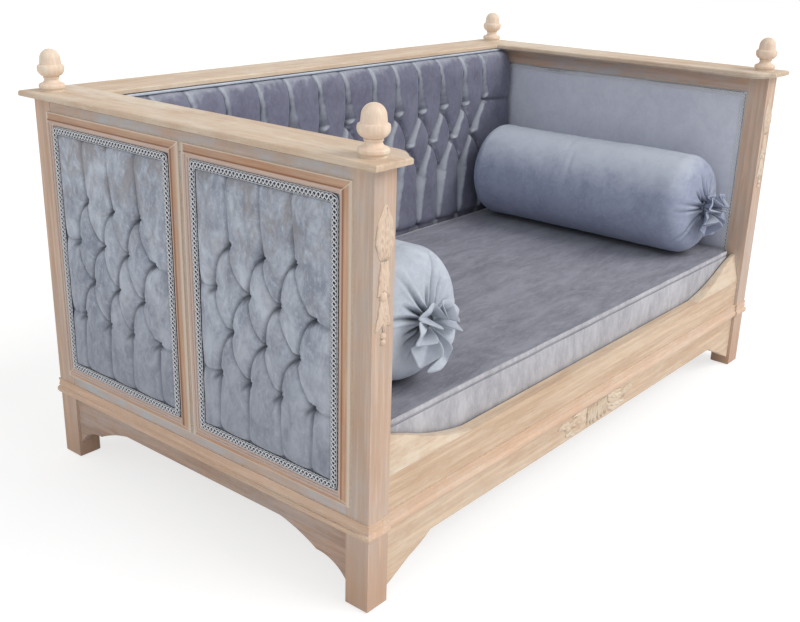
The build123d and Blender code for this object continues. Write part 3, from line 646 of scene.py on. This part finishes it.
def pleats(rows, across, half, high, kind, seed):
    """Curved pleats between the tufts and out to the edges: the points of each, its depth at both ends and
    which side of it lies lower (1 the left of its run, -1 the right)."""
    chance = np.random.default_rng(seed)
    right_deep, left_deep, edge_deep = kind.depths
    side_deep = 0.4 if kind.facet else 1
    lines = []
    for upper, lower in zip(rows, rows[1:]):
        for a in upper:
            for b in lower:
                if abs(a[0] - b[0]) < 0.75 * across:
                    if b[0] > a[0]:
                        lines.append((bent(a, b, kind.bends[0]), *right_deep, -1))
                    else:
                        lines.append((bent(a, b, kind.bends[1]), *left_deep, 1))
    for tuft in rows[0]:
        top = (tuft[0] - chance.uniform(0.02, 0.14) * across, high)
        lines.append((bent(tuft, top, (0.1, 0.5)), *edge_deep, -1))
    for tuft in rows[-1]:
        foot = (tuft[0] + chance.uniform(-0.05, 0.12) * across, -high)
        lines.append((bent(tuft, foot, (0.1, 0.5)), *edge_deep, 1))
    widest = max(kind.counts)
    for row in rows:
        if len(row) == widest:
            for tuft, side, drift, lap in ((row[0], -half, 0.02, -1), (row[-1], half, -0.06, 1)):
                lines.append((bent(tuft, (side, tuft[1] + drift * across), (0.5, 0.9)), side_deep, 0.25, lap))
    return lines


def nearest(points, lines, middle):
    """For each point: how far the nearest pleat is, whether it lies on its lower side, and its depth there.
    A pleat's depth half way is a share, middle, of that at its ends."""
    best = np.full(len(points), np.inf)
    side = np.zeros(len(points))
    depth = np.zeros(len(points))
    for line, first, last, lap in lines:
        for number, (a, b) in enumerate(zip(line, line[1:])):
            run = b - a
            t = np.clip((points - a) @ run / (run @ run), 0, 1)
            gap = points - a - t[:, None] * run
            distance = np.hypot(gap[:, 0], gap[:, 1])
            closer = distance < best
            along = (number + t[closer]) / (len(line) - 1)
            best[closer] = distance[closer]
            side[closer] = lap * np.sign(run[0] * gap[closer, 1] - run[1] * gap[closer, 0])
            ends = first * (1 - along) + last * along
            depth[closer] = ends * (middle + (1 - middle) * (2 * along - 1) ** 2)
    return best, side, depth


def dome(share):
    """A quarter round: 0 with an upright start, 1 with a level end."""
    share = np.clip(share, 0, 1)
    return np.sqrt(1 - (1 - share) ** 2)


def tufted(half, high, kind, top, edges, seed):
    """A tufted pad's grid, how its points lie above the crown, and how much painted shade each gets in its
    creases and pits.
    """
    rows = tuft_rows(kind, top, seed)
    columns = int(round(2 * half / kind.step)) + 1
    count = int(round(2 * high / kind.step)) + 1
    u, v = np.meshgrid(np.linspace(-half, half, columns), np.linspace(-high, high, count))
    flat = np.stack([u.ravel(), v.ravel()], -1)
    lines = pleats(rows, abs(rows[1][1][0] - rows[1][0][0]), half, high, kind, seed)
    space = np.column_stack([flat, np.zeros(len(flat))])
    waver = np.column_stack([wander(space, size * kind.reach, seed + more)
                             for size, more in ((1.3, 0), (1.1, 40))])
    distance, side, depth = nearest(flat + 0.05 * kind.reach * waver, lines, kind.middle)
    drop = 1 - dome(distance / (kind.reach * (1 + kind.leaning * side)))
    if kind.facet:
        wide = kind.facet * np.clip(depth, 0.16, 1.15)
        drop = np.where(side > 0, 1 - np.clip(distance / wide, 0, 1) ** 0.9, drop)
    height = -kind.puff * (depth * drop + 0.25 * (1 - dome(distance / kind.reach)))
    height -= kind.crease * depth * np.exp(-(distance / crease_half) ** 2)
    # Painted shade along the creases
    fold = 0.9 * np.minimum(depth, 1) * np.exp(-(distance / (0.8 * crease_half)) ** 2)
    for row in rows:
        for number, tuft in enumerate(row):
            gap = (flat - tuft) / kind.pit_radius
            radius = np.hypot(gap[:, 0], gap[:, 1])
            angle = np.arctan2(gap[:, 1], gap[:, 0])
            pull = np.sin(7 * angle + number * 2.1) + 0.6 * np.sin(11 * angle + number)
            height += kind.pit * (kind.puckered * pull * np.exp(-(radius - 1.7) ** 2) - np.exp(-radius ** 2))
            # Painted shade: a short dark tail down to the left of each tuft, and a dark spot in its pit
            tail, aside = gap @ np.array((-0.6, -0.8)), gap @ np.array((0.8, -0.6))
            mark = np.exp(-((tail - 0.9) / 1.5) ** 2 - (aside / 0.55) ** 2)
            fold = np.maximum(fold, kind.tail_shadow * mark)
            fold = np.maximum(fold, 0.95 * np.exp(-(radius / 0.75) ** 2))
    height -= edges(flat)
    for share, size, more in ((0.07, 0.9, 3), (0.03, 0.25, 9)):
        height += share * kind.puff * wander(space, size * kind.reach, seed + more)
    return flat, height, fold, (count, columns)


def end_pads(material):
    """The four tufted pads of the ends, each as it looks to someone facing it from outside."""
    kind, ((inner, outer), (low, high)) = end_tufting, end_field
    half, tall = (outer - inner) / 2, (high - low) / 2
    middle_y, middle_z = (outer + inner) / 2, (high + low) / 2

    def inward(flat):
        return np.minimum(half - np.abs(flat[:, 0]), tall - np.abs(flat[:, 1])) - end_margin

    def edges(flat):
        return end_sunk * (1 - dome(inward(flat) / end_edge))

    for number, (end, side) in enumerate((("left", -1), ("right", 1))):
        for place, sign in (("front", -1), ("rear", 1)):
            name = f"tufted_pad_{place}_{end}"
            seed = 11 + 2 * number + (sign + 1) // 2
            flat, height, fold, shape = tufted(half, tall, kind, tall - kind.first, edges, seed)
            height[inward(flat) < 0] = -end_sunk
            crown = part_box(name)[1].x if side > 0 else -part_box(name)[0].x
            x = side * (crown + height)
            y = sign * middle_y + side * flat[:, 0]
            front = np.column_stack([x, y, middle_z + flat[:, 1]]).reshape(*shape, 3)
            back = side * (crown - 2 * kind.puff - kind.pit - 2 * kind.crease)
            made = piece(f"velvet_{name}", *slab(front, 0, back), material, "frame", "velvet", fold)
            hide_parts(name)


def back_pad(material, lit_welt_material):
    """The long tufted pad of the back, with a welt along its top in the paler, lit copy of the velvet:
    painted light.
    """
    low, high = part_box("tufted_back_pad")
    half, tall = (high.x - low.x) / 2, (back_top - low.z) / 2

    def edges(flat):
        from_top, from_foot = tall - flat[:, 1], tall + flat[:, 1] - (back_foot - low.z)
        from_side = half - np.abs(flat[:, 0])
        fall = back_top_fall * (1 - dome(from_top / back_top_edge))
        fall += back_foot_sunk * (1 - dome(from_foot / back_foot_edge))
        return fall + back_sunk * (1 - dome(from_side / back_edge))

    first = tall - (back_top - high.z) - back_tufting.first
    flat, height, fold, shape = tufted(half, tall, back_tufting, first, edges, 5)
    y = np.minimum(low.y - height, high.y - back_least)
    front = np.column_stack([flat[:, 0], y, (low.z + back_top) / 2 + flat[:, 1]]).reshape(*shape, 3)
    along, turn = np.meshgrid(np.linspace(-half, half, welt_steps), circle(welt_sides), indexing="ij")
    welt = np.stack([along, welt_place[0] + welt_radius * np.cos(turn),
                     welt_place[1] + welt_radius * np.sin(turn)], -1)
    welt_faces = capped(welt_steps, welt_sides)
    points, faces = joined([slab(front, 1, high.y), (welt.reshape(-1, 3), welt_faces)])
    made = piece("velvet_back_pad", points, faces, material, "frame", "velvet", fold)
    made.data.materials.append(lit_welt_material)
    for polygon in list(made.data.polygons)[-len(welt_faces):]:
        polygon.material_index = 1
    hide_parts("tufted_back_pad")


def inner_panels(material):
    """The flat velvet panels inside the ends, drawn over thin padding."""
    for end, side in (("left", -1), ("right", 1)):
        name = f"inner_panel_{end}"
        low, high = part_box(name)
        face, back = sorted((abs(low.x), abs(high.x)))
        y, z = (np.linspace(start, end, count) for start, end, count in zip(low[1:], high[1:], panel_grid))
        y, z = np.meshgrid(y, z)
        edge = np.minimum(np.minimum(y - low.y, high.y - y), np.minimum(z - low.z, high.z - z))
        x = face + 0.3 * mm - panel_puff * dome(edge / panel_edge)
        flat = np.column_stack([x.ravel(), y.ravel(), z.ravel()])
        x = x.ravel() + panel_wave * wander(flat, 0.09, 3)
        front = np.column_stack([side * x, y.ravel(), z.ravel()]).reshape(*y.shape, 3)
        made = piece(f"velvet_{name}", *slab(front, 0, side * back), material, "frame", "velvet")
        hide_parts(name)


# Mattress

def lattice(counts):
    """Points on the skin of a cube from -1 to 1, with so many steps along each axis, and its quads."""
    sizes = [count + 1 for count in counts]
    faces = []
    for axis in range(3):
        others = [other for other in range(3) if other != axis]
        a, b = np.meshgrid(np.arange(sizes[others[0]]), np.arange(sizes[others[1]]), indexing="ij")
        for level in (0, counts[axis]):
            index = [None, None, None]
            index[axis] = np.full_like(a, level)
            index[others[0]], index[others[1]] = a, b
            number = (index[0] * sizes[1] + index[1]) * sizes[2] + index[2]
            quads = np.stack([number[:-1, :-1], number[1:, :-1], number[1:, 1:], number[:-1, 1:]], -1)
            faces.append(quads.reshape(-1, 4))
    faces = np.vstack(faces)
    used, renumbered = np.unique(faces, return_inverse=True)
    grid = np.stack([used // (sizes[1] * sizes[2]), used // sizes[2] % sizes[1], used % sizes[2]], -1)
    return 2 * grid / np.array(counts) - 1, renumbered.reshape(faces.shape)


def mattress(shaded_top_material, lit_side_material):
    """The loose foam mattress: a low crown, a seam round its top edge and slightly bulging sides."""
    low, high = (np.array(corner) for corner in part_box("mattress"))
    middle, half = (low + high) / 2, (high - low) / 2
    fine_from = 1 - 2 * seam_below / half[2]
    levels = np.concatenate([np.linspace(-1, fine_from, 13)[:-1], np.linspace(fine_from, 1, 27)])
    steps = [int(size) for size in 2 * half[:2] / mattress_step] + [len(levels) - 1]
    unit, faces = lattice(steps)
    unit[:, 2] = np.interp(unit[:, 2], np.linspace(-1, 1, len(levels)), levels)
    points = unit * half
    held = np.clip(points[:, :2], mattress_corner - half[:2], half[:2] - mattress_corner)
    gap = points[:, :2] - held
    long = np.maximum(np.abs(gap).max(1), 1e-9)
    points[:, :2] = held + gap * (long / np.maximum(np.hypot(*gap.T), 1e-9))[:, None]
    inset = np.maximum(np.abs(unit[:, :2] * half[:2]) - (half[:2] - mattress_round), 0).max(1)
    rise = np.maximum(np.abs(points[:, 2]) - (half[2] - mattress_round), 0)
    both = np.hypot(inset, rise)
    over = (both > mattress_round) & (rise > 0) & (inset > 0)
    shrink = np.ones(len(points))
    shrink[over] = mattress_round / both[over]
    points[:, 2] -= np.sign(points[:, 2]) * rise * (1 - shrink)
    side = np.abs(unit[:, :2]).max(1) > 1 - 1e-6
    flat = middle + points
    loose = wander(flat, 0.13, 2)
    fine = wander(flat, 0.035, 6)
    top_edge = half[2] - points[:, 2]
    seam = np.exp(-((top_edge - seam_below) / seam_half) ** 2)
    lip = np.exp(-((top_edge - 0.55 * seam_below) / (0.45 * seam_below)) ** 2)
    pull = seam_lip * lip - seam_deep * seam + mattress_bulge * (np.cos(unit[:, 2] * math.pi / 2) - 1)
    pull += side_wave * loose + side_wrinkle * fine - side_inset - (1 - shrink) * mattress_round * 0.6
    for axis in range(2):
        on = side & (np.abs(unit[:, axis]) > 1 - 1e-6)
        points[on, axis] += np.sign(unit[on, axis]) * np.minimum(pull[on], 0)
    top = unit[:, 2] > 1 - 1e-6
    bulge = (1 - unit[:, 0] ** 4) * (1 - unit[:, 1] ** 4)
    dips = top_wave * np.abs(loose) + top_wrinkle * np.abs(fine)
    points[top, 2] -= (mattress_crown * (1 - bulge) + dips)[top]
    # Painted shade along the seam and just under the top edge of the sides
    fold = np.where(side, 0.35 * seam + 0.3 * np.exp(-(top_edge / (2.5 * mm)) ** 2), 0)
    made = piece("velvet_mattress", points + middle, faces, shaded_top_material, "mattress", "velvet", fold)
    # The sides that face the front and the ends take the paler, lit copy of the velvet; the top and the back
    # side take the darker, shaded one: painted light and shade
    made.data.materials.append(lit_side_material)
    for polygon in made.data.polygons:
        polygon.material_index = int(abs(polygon.normal.z) < 0.7 and polygon.normal.y < 0.5)
    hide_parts("mattress")


# Bolsters

def bolster_shape(length, radius, folds, seed):
    """A gathered bolster along +Z from its back end: a grid of points closed round its axis, with each
    point's outward way and how much painted shade it gets in the creases of its gathered end."""
    count, deepest, longest = folds
    chance = np.random.default_rng(seed)
    shoulder = length - bolster_gather
    inner = radius - bolster_shoulder
    quarter = np.linspace(0, math.pi / 2, 15)
    centre = [(share * (radius - bolster_round), 0.0) for share in np.linspace(0.01, 0.95, 12)]
    back = [(radius - bolster_round * (1 - math.sin(a)), bolster_round * (1 - math.cos(a))) for a in quarter]
    body = [(radius, z) for z in np.arange(bolster_round, shoulder, 5 * mm)[1:]]
    turn = [(inner + bolster_shoulder * math.cos(a), shoulder + bolster_shoulder * math.sin(a))
            for a in np.linspace(0, math.pi / 2, 34)]
    share = np.linspace(0, 1, 30)[1:] ** 0.8
    end = [(inner + (neck_radius - inner) * s,
            shoulder + bolster_shoulder + (bolster_gather - bolster_shoulder) * s) for s in share]
    profile = np.array(centre + back + body + turn + end)
    ahead = np.gradient(profile, axis=0)
    ahead /= np.hypot(*ahead.T)[:, None]
    to_neck = np.cumsum(np.hypot(*np.diff(profile, axis=0, prepend=profile[:1]).T))
    to_neck = to_neck[-1] - to_neck
    angle = circle(bolster_sectors)
    r, theta = np.meshgrid(profile[:, 0], angle, indexing="ij")
    z, away = (np.repeat(column[:, None], len(angle), 1) for column in (profile[:, 1], to_neck))
    rise, fold = np.zeros_like(r), np.zeros_like(r)
    places = (np.arange(count) + chance.uniform(-0.36, 0.36, count)) / count * 2 * math.pi
    for place in places:
        reach = longest * chance.uniform(0.35, 1) ** 1.3
        deep = deepest * chance.uniform(0.55, 1)
        wide = chance.uniform(2.2, 4.2) * mm
        swing = chance.uniform(-0.28, 0.28)
        apart = np.angle(np.exp(1j * (theta - place - swing * away / longest))) * np.maximum(r, 12 * mm)
        fade = np.clip(1 - away / reach, 0, 1)
        across = apart / (wide * (0.6 + 0.9 * away / longest))
        rise -= deep * fade ** 0.8 * np.exp(-across ** 2)
        rise += 0.5 * deep * fade * np.exp(-(np.abs(across) - 2.4) ** 2)
        # Painted shade along each crease
        fold = np.maximum(fold, 0.8 * fade ** 0.7 * np.exp(-(1.3 * across) ** 2))
    for place, level in slack_folds:
        apart = np.angle(np.exp(1j * (theta - place)))
        ahead_of = (z - level * length - 12 * mm * apart) / (4 * mm)
        rise -= slack_deep * np.exp(-(apart / 0.35) ** 2) * np.exp(-ahead_of ** 2)
    # Painted shade at the neck of the gather
    fold = np.maximum(fold, 0.8 * np.exp(-(away / (9 * mm)) ** 2))
    way_r, way_z = np.repeat(ahead[:, 1:], len(angle), 1), -np.repeat(ahead[:, :1], len(angle), 1)
    r, z = np.maximum(r + way_r * rise, 3 * mm * (r > 3 * mm)), z + way_z * rise
    points = np.stack([r * np.cos(theta), r * np.sin(theta), z], -1)
    ways = np.stack([way_r * np.cos(theta), way_r * np.sin(theta), way_z], -1)
    return points, ways, fold


def bolsters(materials):
    """The two loose bolsters, each with its gathered end and the ruffle of cloth beyond its tie."""
    for number, end in enumerate(("left", "right")):
        name = f"bolster_{end}"
        low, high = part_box(name)
        tie_low, tie_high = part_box(f"bolster_tie_{end}")
        radius = (high.x - low.x) / 2
        axis = Vector(((low.x + high.x) / 2, high.y, (low.z + high.z) / 2))
        length = high.y - (tie_low.y + tie_high.y) / 2
        shape, ways, fold = bolster_shape(length, radius, bolster_folds[end], 3 + number)
        rings, sectors = shape.shape[:2]
        local, ways = shape.reshape(-1, 3), ways.reshape(-1, 3)
        world = np.column_stack([axis.x + local[:, 0], axis.y - local[:, 2], axis.z + local[:, 1]])
        outward = np.column_stack([ways[:, 0], -ways[:, 2], ways[:, 1]])
        loose = wander(world, 0.12, 5 + number)
        fine = wander(world, 0.04, 15 + number)
        ends = np.clip(np.hypot(local[:, 0], local[:, 1]) / radius, 0, 1)
        world += outward * ((cover_wave * loose + cover_wrinkle * fine - cover_inset) * ends)[:, None]
        floor = low.z + 0.2 * mm
        sagged = floor + 0.25 * (world[:, 2] - floor - bolster_flat).clip(-1, 0) + bolster_flat * 0.25
        world[:, 2] = np.maximum(world[:, 2], sagged)
        body = piece(f"velvet_{name}", world, capped(rings, sectors), materials[number], name, "velvet",
                     fold.ravel())
        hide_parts(name)
        ruffle(end, axis, length, materials[number])
        turn = circle(tie_steps)
        path = np.column_stack([axis.x + neck_radius * np.cos(turn), np.full(tie_steps, axis.y - length),
                                axis.z + neck_radius * np.sin(turn)])
        ring = tube(path, tie_radius, tie_radius, tie_sides, (0.0, 1.0, 0.0))
        cord = piece(f"tie_{name}", *ring, materials[number], name, "gimp_braid",
                     np.full(tie_steps * tie_sides, tie_shade))
        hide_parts(f"bolster_tie_{end}")


def ruffle(end, axis, length, material):
    """The gathered cloth past the tie: stiff folds that stand out in petals lapping over each other."""
    reach, petals, droop, seed = ruffles[end]
    chance = np.random.default_rng(seed)
    knots = []                  # turn, share of the reach and way forward of each corner of the cloth's edge
    for petal in range(petals):
        start = petal + chance.uniform(-0.16, 0.16)
        out = chance.uniform(0.86, 1.0, 2)
        back = chance.uniform(0.12, 0.4)
        lap = chance.uniform(0.08, 0.3)
        knots += [(start - lap, out[0], back),
                  (start + 0.3, 0.98 * out.mean(), back + chance.uniform(0.08, 0.24)),
                  (start + 0.6 + lap, out[1], back + chance.uniform(-0.08, 0.12)),
                  (start + 0.78, chance.uniform(0.34, 0.5), chance.uniform(0.72, 0.97))]
    knots = np.array(knots + [(knots[0][0] + petals, *knots[0][1:])])
    along = np.linspace(0, len(knots) - 1, 9 * (len(knots) - 1), endpoint=False)
    number = along.astype(int)
    share = along - number
    share = 0.6 * share + 0.4 * share ** 2 * (3 - 2 * share)
    turn, out, forward = (knots[number] + (knots[number + 1] - knots[number]) * share[:, None]).T
    even = along / (len(knots) - 1) * petals
    turn, out, forward = (sum(np.roll(values, step) for step in range(-2, 3)) / 5
                          for values in (turn - even, out, forward))
    turn = turn + even
    t = np.linspace(0, 1, ruffle_rows)[:, None]
    theta = (even + (turn - even) * t ** 0.8) / petals * 2 * math.pi
    neck = 0.8 * neck_radius
    r = neck + (out * reach - neck) * t ** 1.25
    z = 2 * mm + forward * ruffle_cut * np.sin(t * math.pi / 2) ** 1.15 + 9 * mm * t * (1 - t)
    crimp = 1.6 * mm * np.sin(23 * theta + 6 * t) * t * (1 - t)
    r, z = r + crimp, np.minimum(z + crimp, ruffle_cut)
    r = r * (1 - 0.16 * np.sin(theta) * t)
    rise = r * np.sin(theta) - droop * t
    points = np.stack([axis.x + r * np.cos(theta), axis.y - length - z, axis.z + rise], -1)
    # Painted shade, deepest near the tie
    deep = np.clip(1.15 - r / (0.62 * reach), 0, 1) * 0.38
    faces = grid_faces(*points.shape[:2], wrap_columns=True)
    made = piece(f"velvet_ruffle_{end}", points.reshape(-1, 3), faces, material, f"bolster_{end}", "velvet",
                 deep.ravel())
    thick = made.modifiers.new("cloth", "SOLIDIFY")
    thick.thickness = ruffle_thick
    thick.offset = 0


# Braid

def tube(path, wide, thick, sides, facing=(1.0, 0.0, 0.0)):
    """A closed band of oval section along a closed path of points on a face that looks one way."""
    ahead = np.roll(path, -1, 0) - np.roll(path, 1, 0)
    ahead /= np.linalg.norm(ahead, axis=1)[:, None]
    across = np.cross(ahead, np.array(facing))
    across /= np.linalg.norm(across, axis=1)[:, None]
    rise = np.cross(across, ahead)
    angle = circle(sides)[None, :, None]
    ring = wide * across[:, None] * np.cos(angle) + thick * rise[:, None] * np.sin(angle)
    faces = grid_faces(len(path), sides, wrap_rows=True, wrap_columns=True)
    return (path[:, None] + ring).reshape(-1, 3), faces


def round_rectangle(half_y, half_z, count):
    """Points evenly spaced round a rectangle with small round corners, and the outward way at each."""
    outline = []
    for number, (sign_y, sign_z) in enumerate(((1, 1), (-1, 1), (-1, -1), (1, -1))):
        for step in range(braid_corner_steps + 1):
            turn = math.radians(90 * (number + step / braid_corner_steps))
            outline.append((sign_y * (half_y - braid_corner) + braid_corner * math.cos(turn),
                            sign_z * (half_z - braid_corner) + braid_corner * math.sin(turn)))
    outline = np.array(outline + outline[:1])
    lengths = np.concatenate([[0], np.cumsum(np.hypot(*np.diff(outline, axis=0).T))])
    wanted = np.linspace(0, lengths[-1], count, endpoint=False)
    points = np.column_stack([np.interp(wanted, lengths, outline[:, axis]) for axis in range(2)])
    ahead = np.roll(points, -1, 0) - np.roll(points, 1, 0)
    ahead /= np.hypot(*ahead.T)[:, None]
    return points, np.column_stack([ahead[:, 1], -ahead[:, 0]])


def braid(side, centre_y, sizes, face):
    """A woven gimp round a rectangle: two strands that cross over a ribbon, and scalloped edge cords.
    It gives the points, the faces and how much painted shade each point gets."""
    half_y, half_z, centre_z = sizes
    waves = round(4 * (half_y + half_z) / braid_pitch)
    count = waves * braid_steps
    outline, outward = round_rectangle(half_y, half_z, count)
    turn = np.arange(count) / braid_steps * 2 * math.pi
    wave, lift, even = braid_half * np.sin(turn), braid_rise * np.cos(turn), np.zeros(count)
    cord = braid_half + cord_beside + cord_scallop * np.abs(np.sin(turn))
    bands = [
        # The ribbon is painted wholly dark, as painted shade in the gaps between the strands
        (even, even - ribbon_under, ribbon_half, 8, 1.0),
        (wave, lift, strand_half, 6, 0),
        (-wave, -lift, strand_half, 6, 0),
        (cord, even - cord_under, (cord_radius, cord_radius), 5, 0),
        (-cord, even - cord_under, (cord_radius, cord_radius), 5, 0),
    ]
    tubes, dark = [], []
    for sideways, above, half, sides, shade in bands:
        flat = outline + outward * sideways[:, None]
        path = np.column_stack([face + side * above, centre_y + flat[:, 0], centre_z + flat[:, 1]])
        tubes.append(tube(path, *half, sides))
        dark.append(np.full(count * sides, shade))
    return *joined(tubes), np.concatenate(dark)


def gimps(material):
    """The braid round each tufted field outside and round each flat panel inside."""
    (inner, outer), (foot, top) = end_field
    for end, side in (("left", -1), ("right", 1)):
        for place in ("outer", "inner"):
            node = f"{place}_gimp_{end}"
            low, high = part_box(node)
            near, far = sorted((abs(low.x), abs(high.x)))
            if place == "outer":
                half_y, half_z, middle_z = (outer - inner) / 2, (top - foot) / 2, (foot + top) / 2
                looks, face = side, side * (far - outer_braid_sunk)
                middles = (-(inner + outer) / 2, (inner + outer) / 2)
            else:
                half_y, half_z, middle_z = (high.y - low.y) / 2, (high.z - low.z) / 2, (low.z + high.z) / 2
                looks, face, middles = -side, side * (near + inner_braid_sunk), (0,)
            sizes = (half_y - braid_margin, half_z - braid_margin, middle_z)
            braids = [braid(looks, middle, sizes, face) for middle in middles]
            points, faces = joined([(points, faces) for points, faces, dark in braids])
            made = piece(f"braid_{node}", points, faces, material, "frame", "gimp_braid",
                         np.concatenate([dark for points, faces, dark in braids]))
            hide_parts(node)


# Camera, light and floor

def camera():
    """The photograph's camera."""
    yaw, pitch, roll = (math.radians(angle) for angle in (camera_yaw, camera_pitch, camera_roll))
    ahead = Vector((math.cos(pitch) * math.cos(yaw), math.cos(pitch) * math.sin(yaw), math.sin(pitch)))
    level = Vector((math.sin(yaw), -math.cos(yaw), 0))
    above = level.cross(ahead)
    right = level * math.cos(roll) + above * math.sin(roll)
    up = above * math.cos(roll) - level * math.sin(roll)
    lens = bpy.data.cameras.new("camera")
    lens.sensor_fit = "HORIZONTAL"
    lens.sensor_width = sensor_wide
    lens.lens = photo_focal * sensor_wide / photo_wide
    lens.clip_end = 100
    made = add("camera", lens)
    columns = Matrix((right, up, -ahead)).transposed().to_4x4()
    made.matrix_world = Matrix.Translation(camera_place) @ columns
    bpy.context.scene.camera = made
    bpy.context.scene.view_settings.view_transform = "Standard"


def sun(name, way, strength, spread, colour):
    """A soft, even light that shines one way."""
    light = bpy.data.lights.new(name, "SUN")
    light.energy = strength
    light.angle = math.radians(spread)
    light.color = colour
    add(name, light).rotation_euler = Vector(way).to_track_quat("-Z", "Y").to_euler()


def world():
    """White to the camera and in reflections, and a plain even light on everything else."""
    made = bpy.data.worlds.new("world")
    nodes = Nodes(made, "Background")
    path = nodes.node("LightPath").outputs
    seen = nodes.math("MAXIMUM", path["Is Camera Ray"], path["Is Glossy Ray"])
    seen = nodes.math("MAXIMUM", seen, path["Is Transmission Ray"])
    nodes.set(Color=(1, 1, 1, 1), Strength=nodes.ramp(seen, 0, 1, sky_level, 1))
    bpy.context.scene.world = made


def floor():
    """A white floor that keeps a pale shadow of the bed."""
    paint = Paint("pale_floor")
    path = paint.node("LightPath").outputs
    seen = paint.math("MAXIMUM", path["Is Camera Ray"], path["Is Glossy Ray"])
    colour = paint.mix(paint.ramp(paint.noise(3, 3), 0.3, 0.7), srgb(240, 240, 240), srgb(246, 246, 246))
    kept = paint.mix(seen, (1, 1, 1, 1), (floor_keeps, floor_keeps, floor_keeps, 1))
    paint.set(Base_Color=paint.mix(1.0, colour, kept, "MULTIPLY"), Roughness=0.9, Emission_Color=(1, 1, 1, 1))
    paint.set(Emission_Strength=paint.math("MULTIPLY", seen, floor_lift), Specular_IOR_Level=0.0)
    mesh = bpy.data.meshes.new("floor")
    corners = [(x * floor_reach, y * floor_reach, -0.5 * mm) for x, y in ((-1, -1), (1, -1), (1, 1), (-1, 1))]
    mesh.from_pydata(corners, [], [(0, 1, 2, 3)])
    mesh.materials.append(paint.material)
    add("floor", mesh)


camera()
world()
floor()
for number, settings in enumerate(suns):
    sun(f"sun_{number}", *settings)
finish_wood()

# The velvets below are copies of one blue-grey cloth, each with its ground and nap set paler or darker for
# the light its pieces get: painted light and shade. The mattress's sides, the left bolster and the back's
# welt take lit copies, the mattress's top a shaded one.
from_left = (-0.85, 0.0, 0.5)
end_velvet = velvet("velvet_ends", srgb(140, 147, 162), srgb(204, 211, 222), 0.85, (1, 1, 0.6), 2,
                    stain=(srgb(148, 142, 144), 0.42, 0.6), shade_below=(srgb(126, 129, 142), 0.18, 0.42))
back_velvet = velvet("velvet_back", srgb(104, 105, 124), srgb(134, 136, 154), 0.55, (1, 1, 0.7), 4,
                     lit=(from_left, srgb(190, 196, 206), 0.28, 0.66))
panel_velvet = velvet("velvet_panels", srgb(198, 202, 217), srgb(218, 222, 233), 0.6, (1, 1, 1), 6)
shaded_seat_velvet = velvet("velvet_seat", srgb(118, 118, 129), srgb(160, 161, 173), 0.7, (0.45, 1.5, 1), 8)
lit_seat_side_velvet = velvet("velvet_seat_sides", srgb(162, 162, 170), srgb(200, 200, 206), 0.8, (1.3, 1, 0.5), 10)
lit_left_velvet = velvet("velvet_bolster_left", srgb(178, 186, 200), srgb(208, 216, 226), 0.6, (1, 1, 1), 12)
right_velvet = velvet("velvet_bolster_right", srgb(142, 149, 174), srgb(170, 178, 199), 0.6, (1, 1, 1), 14,
                      lit=((-0.35, -0.1, 0.94), srgb(196, 203, 215), 0.55, 1.0))
silver = thread("silver_braid", srgb(196, 200, 208), srgb(238, 240, 243), srgb(46, 48, 58))

end_pads(end_velvet)
back_pad(back_velvet, lit_left_velvet)
inner_panels(panel_velvet)
mattress(shaded_seat_velvet, lit_seat_side_velvet)
bolsters((lit_left_velvet, right_velvet))
gimps(silver)
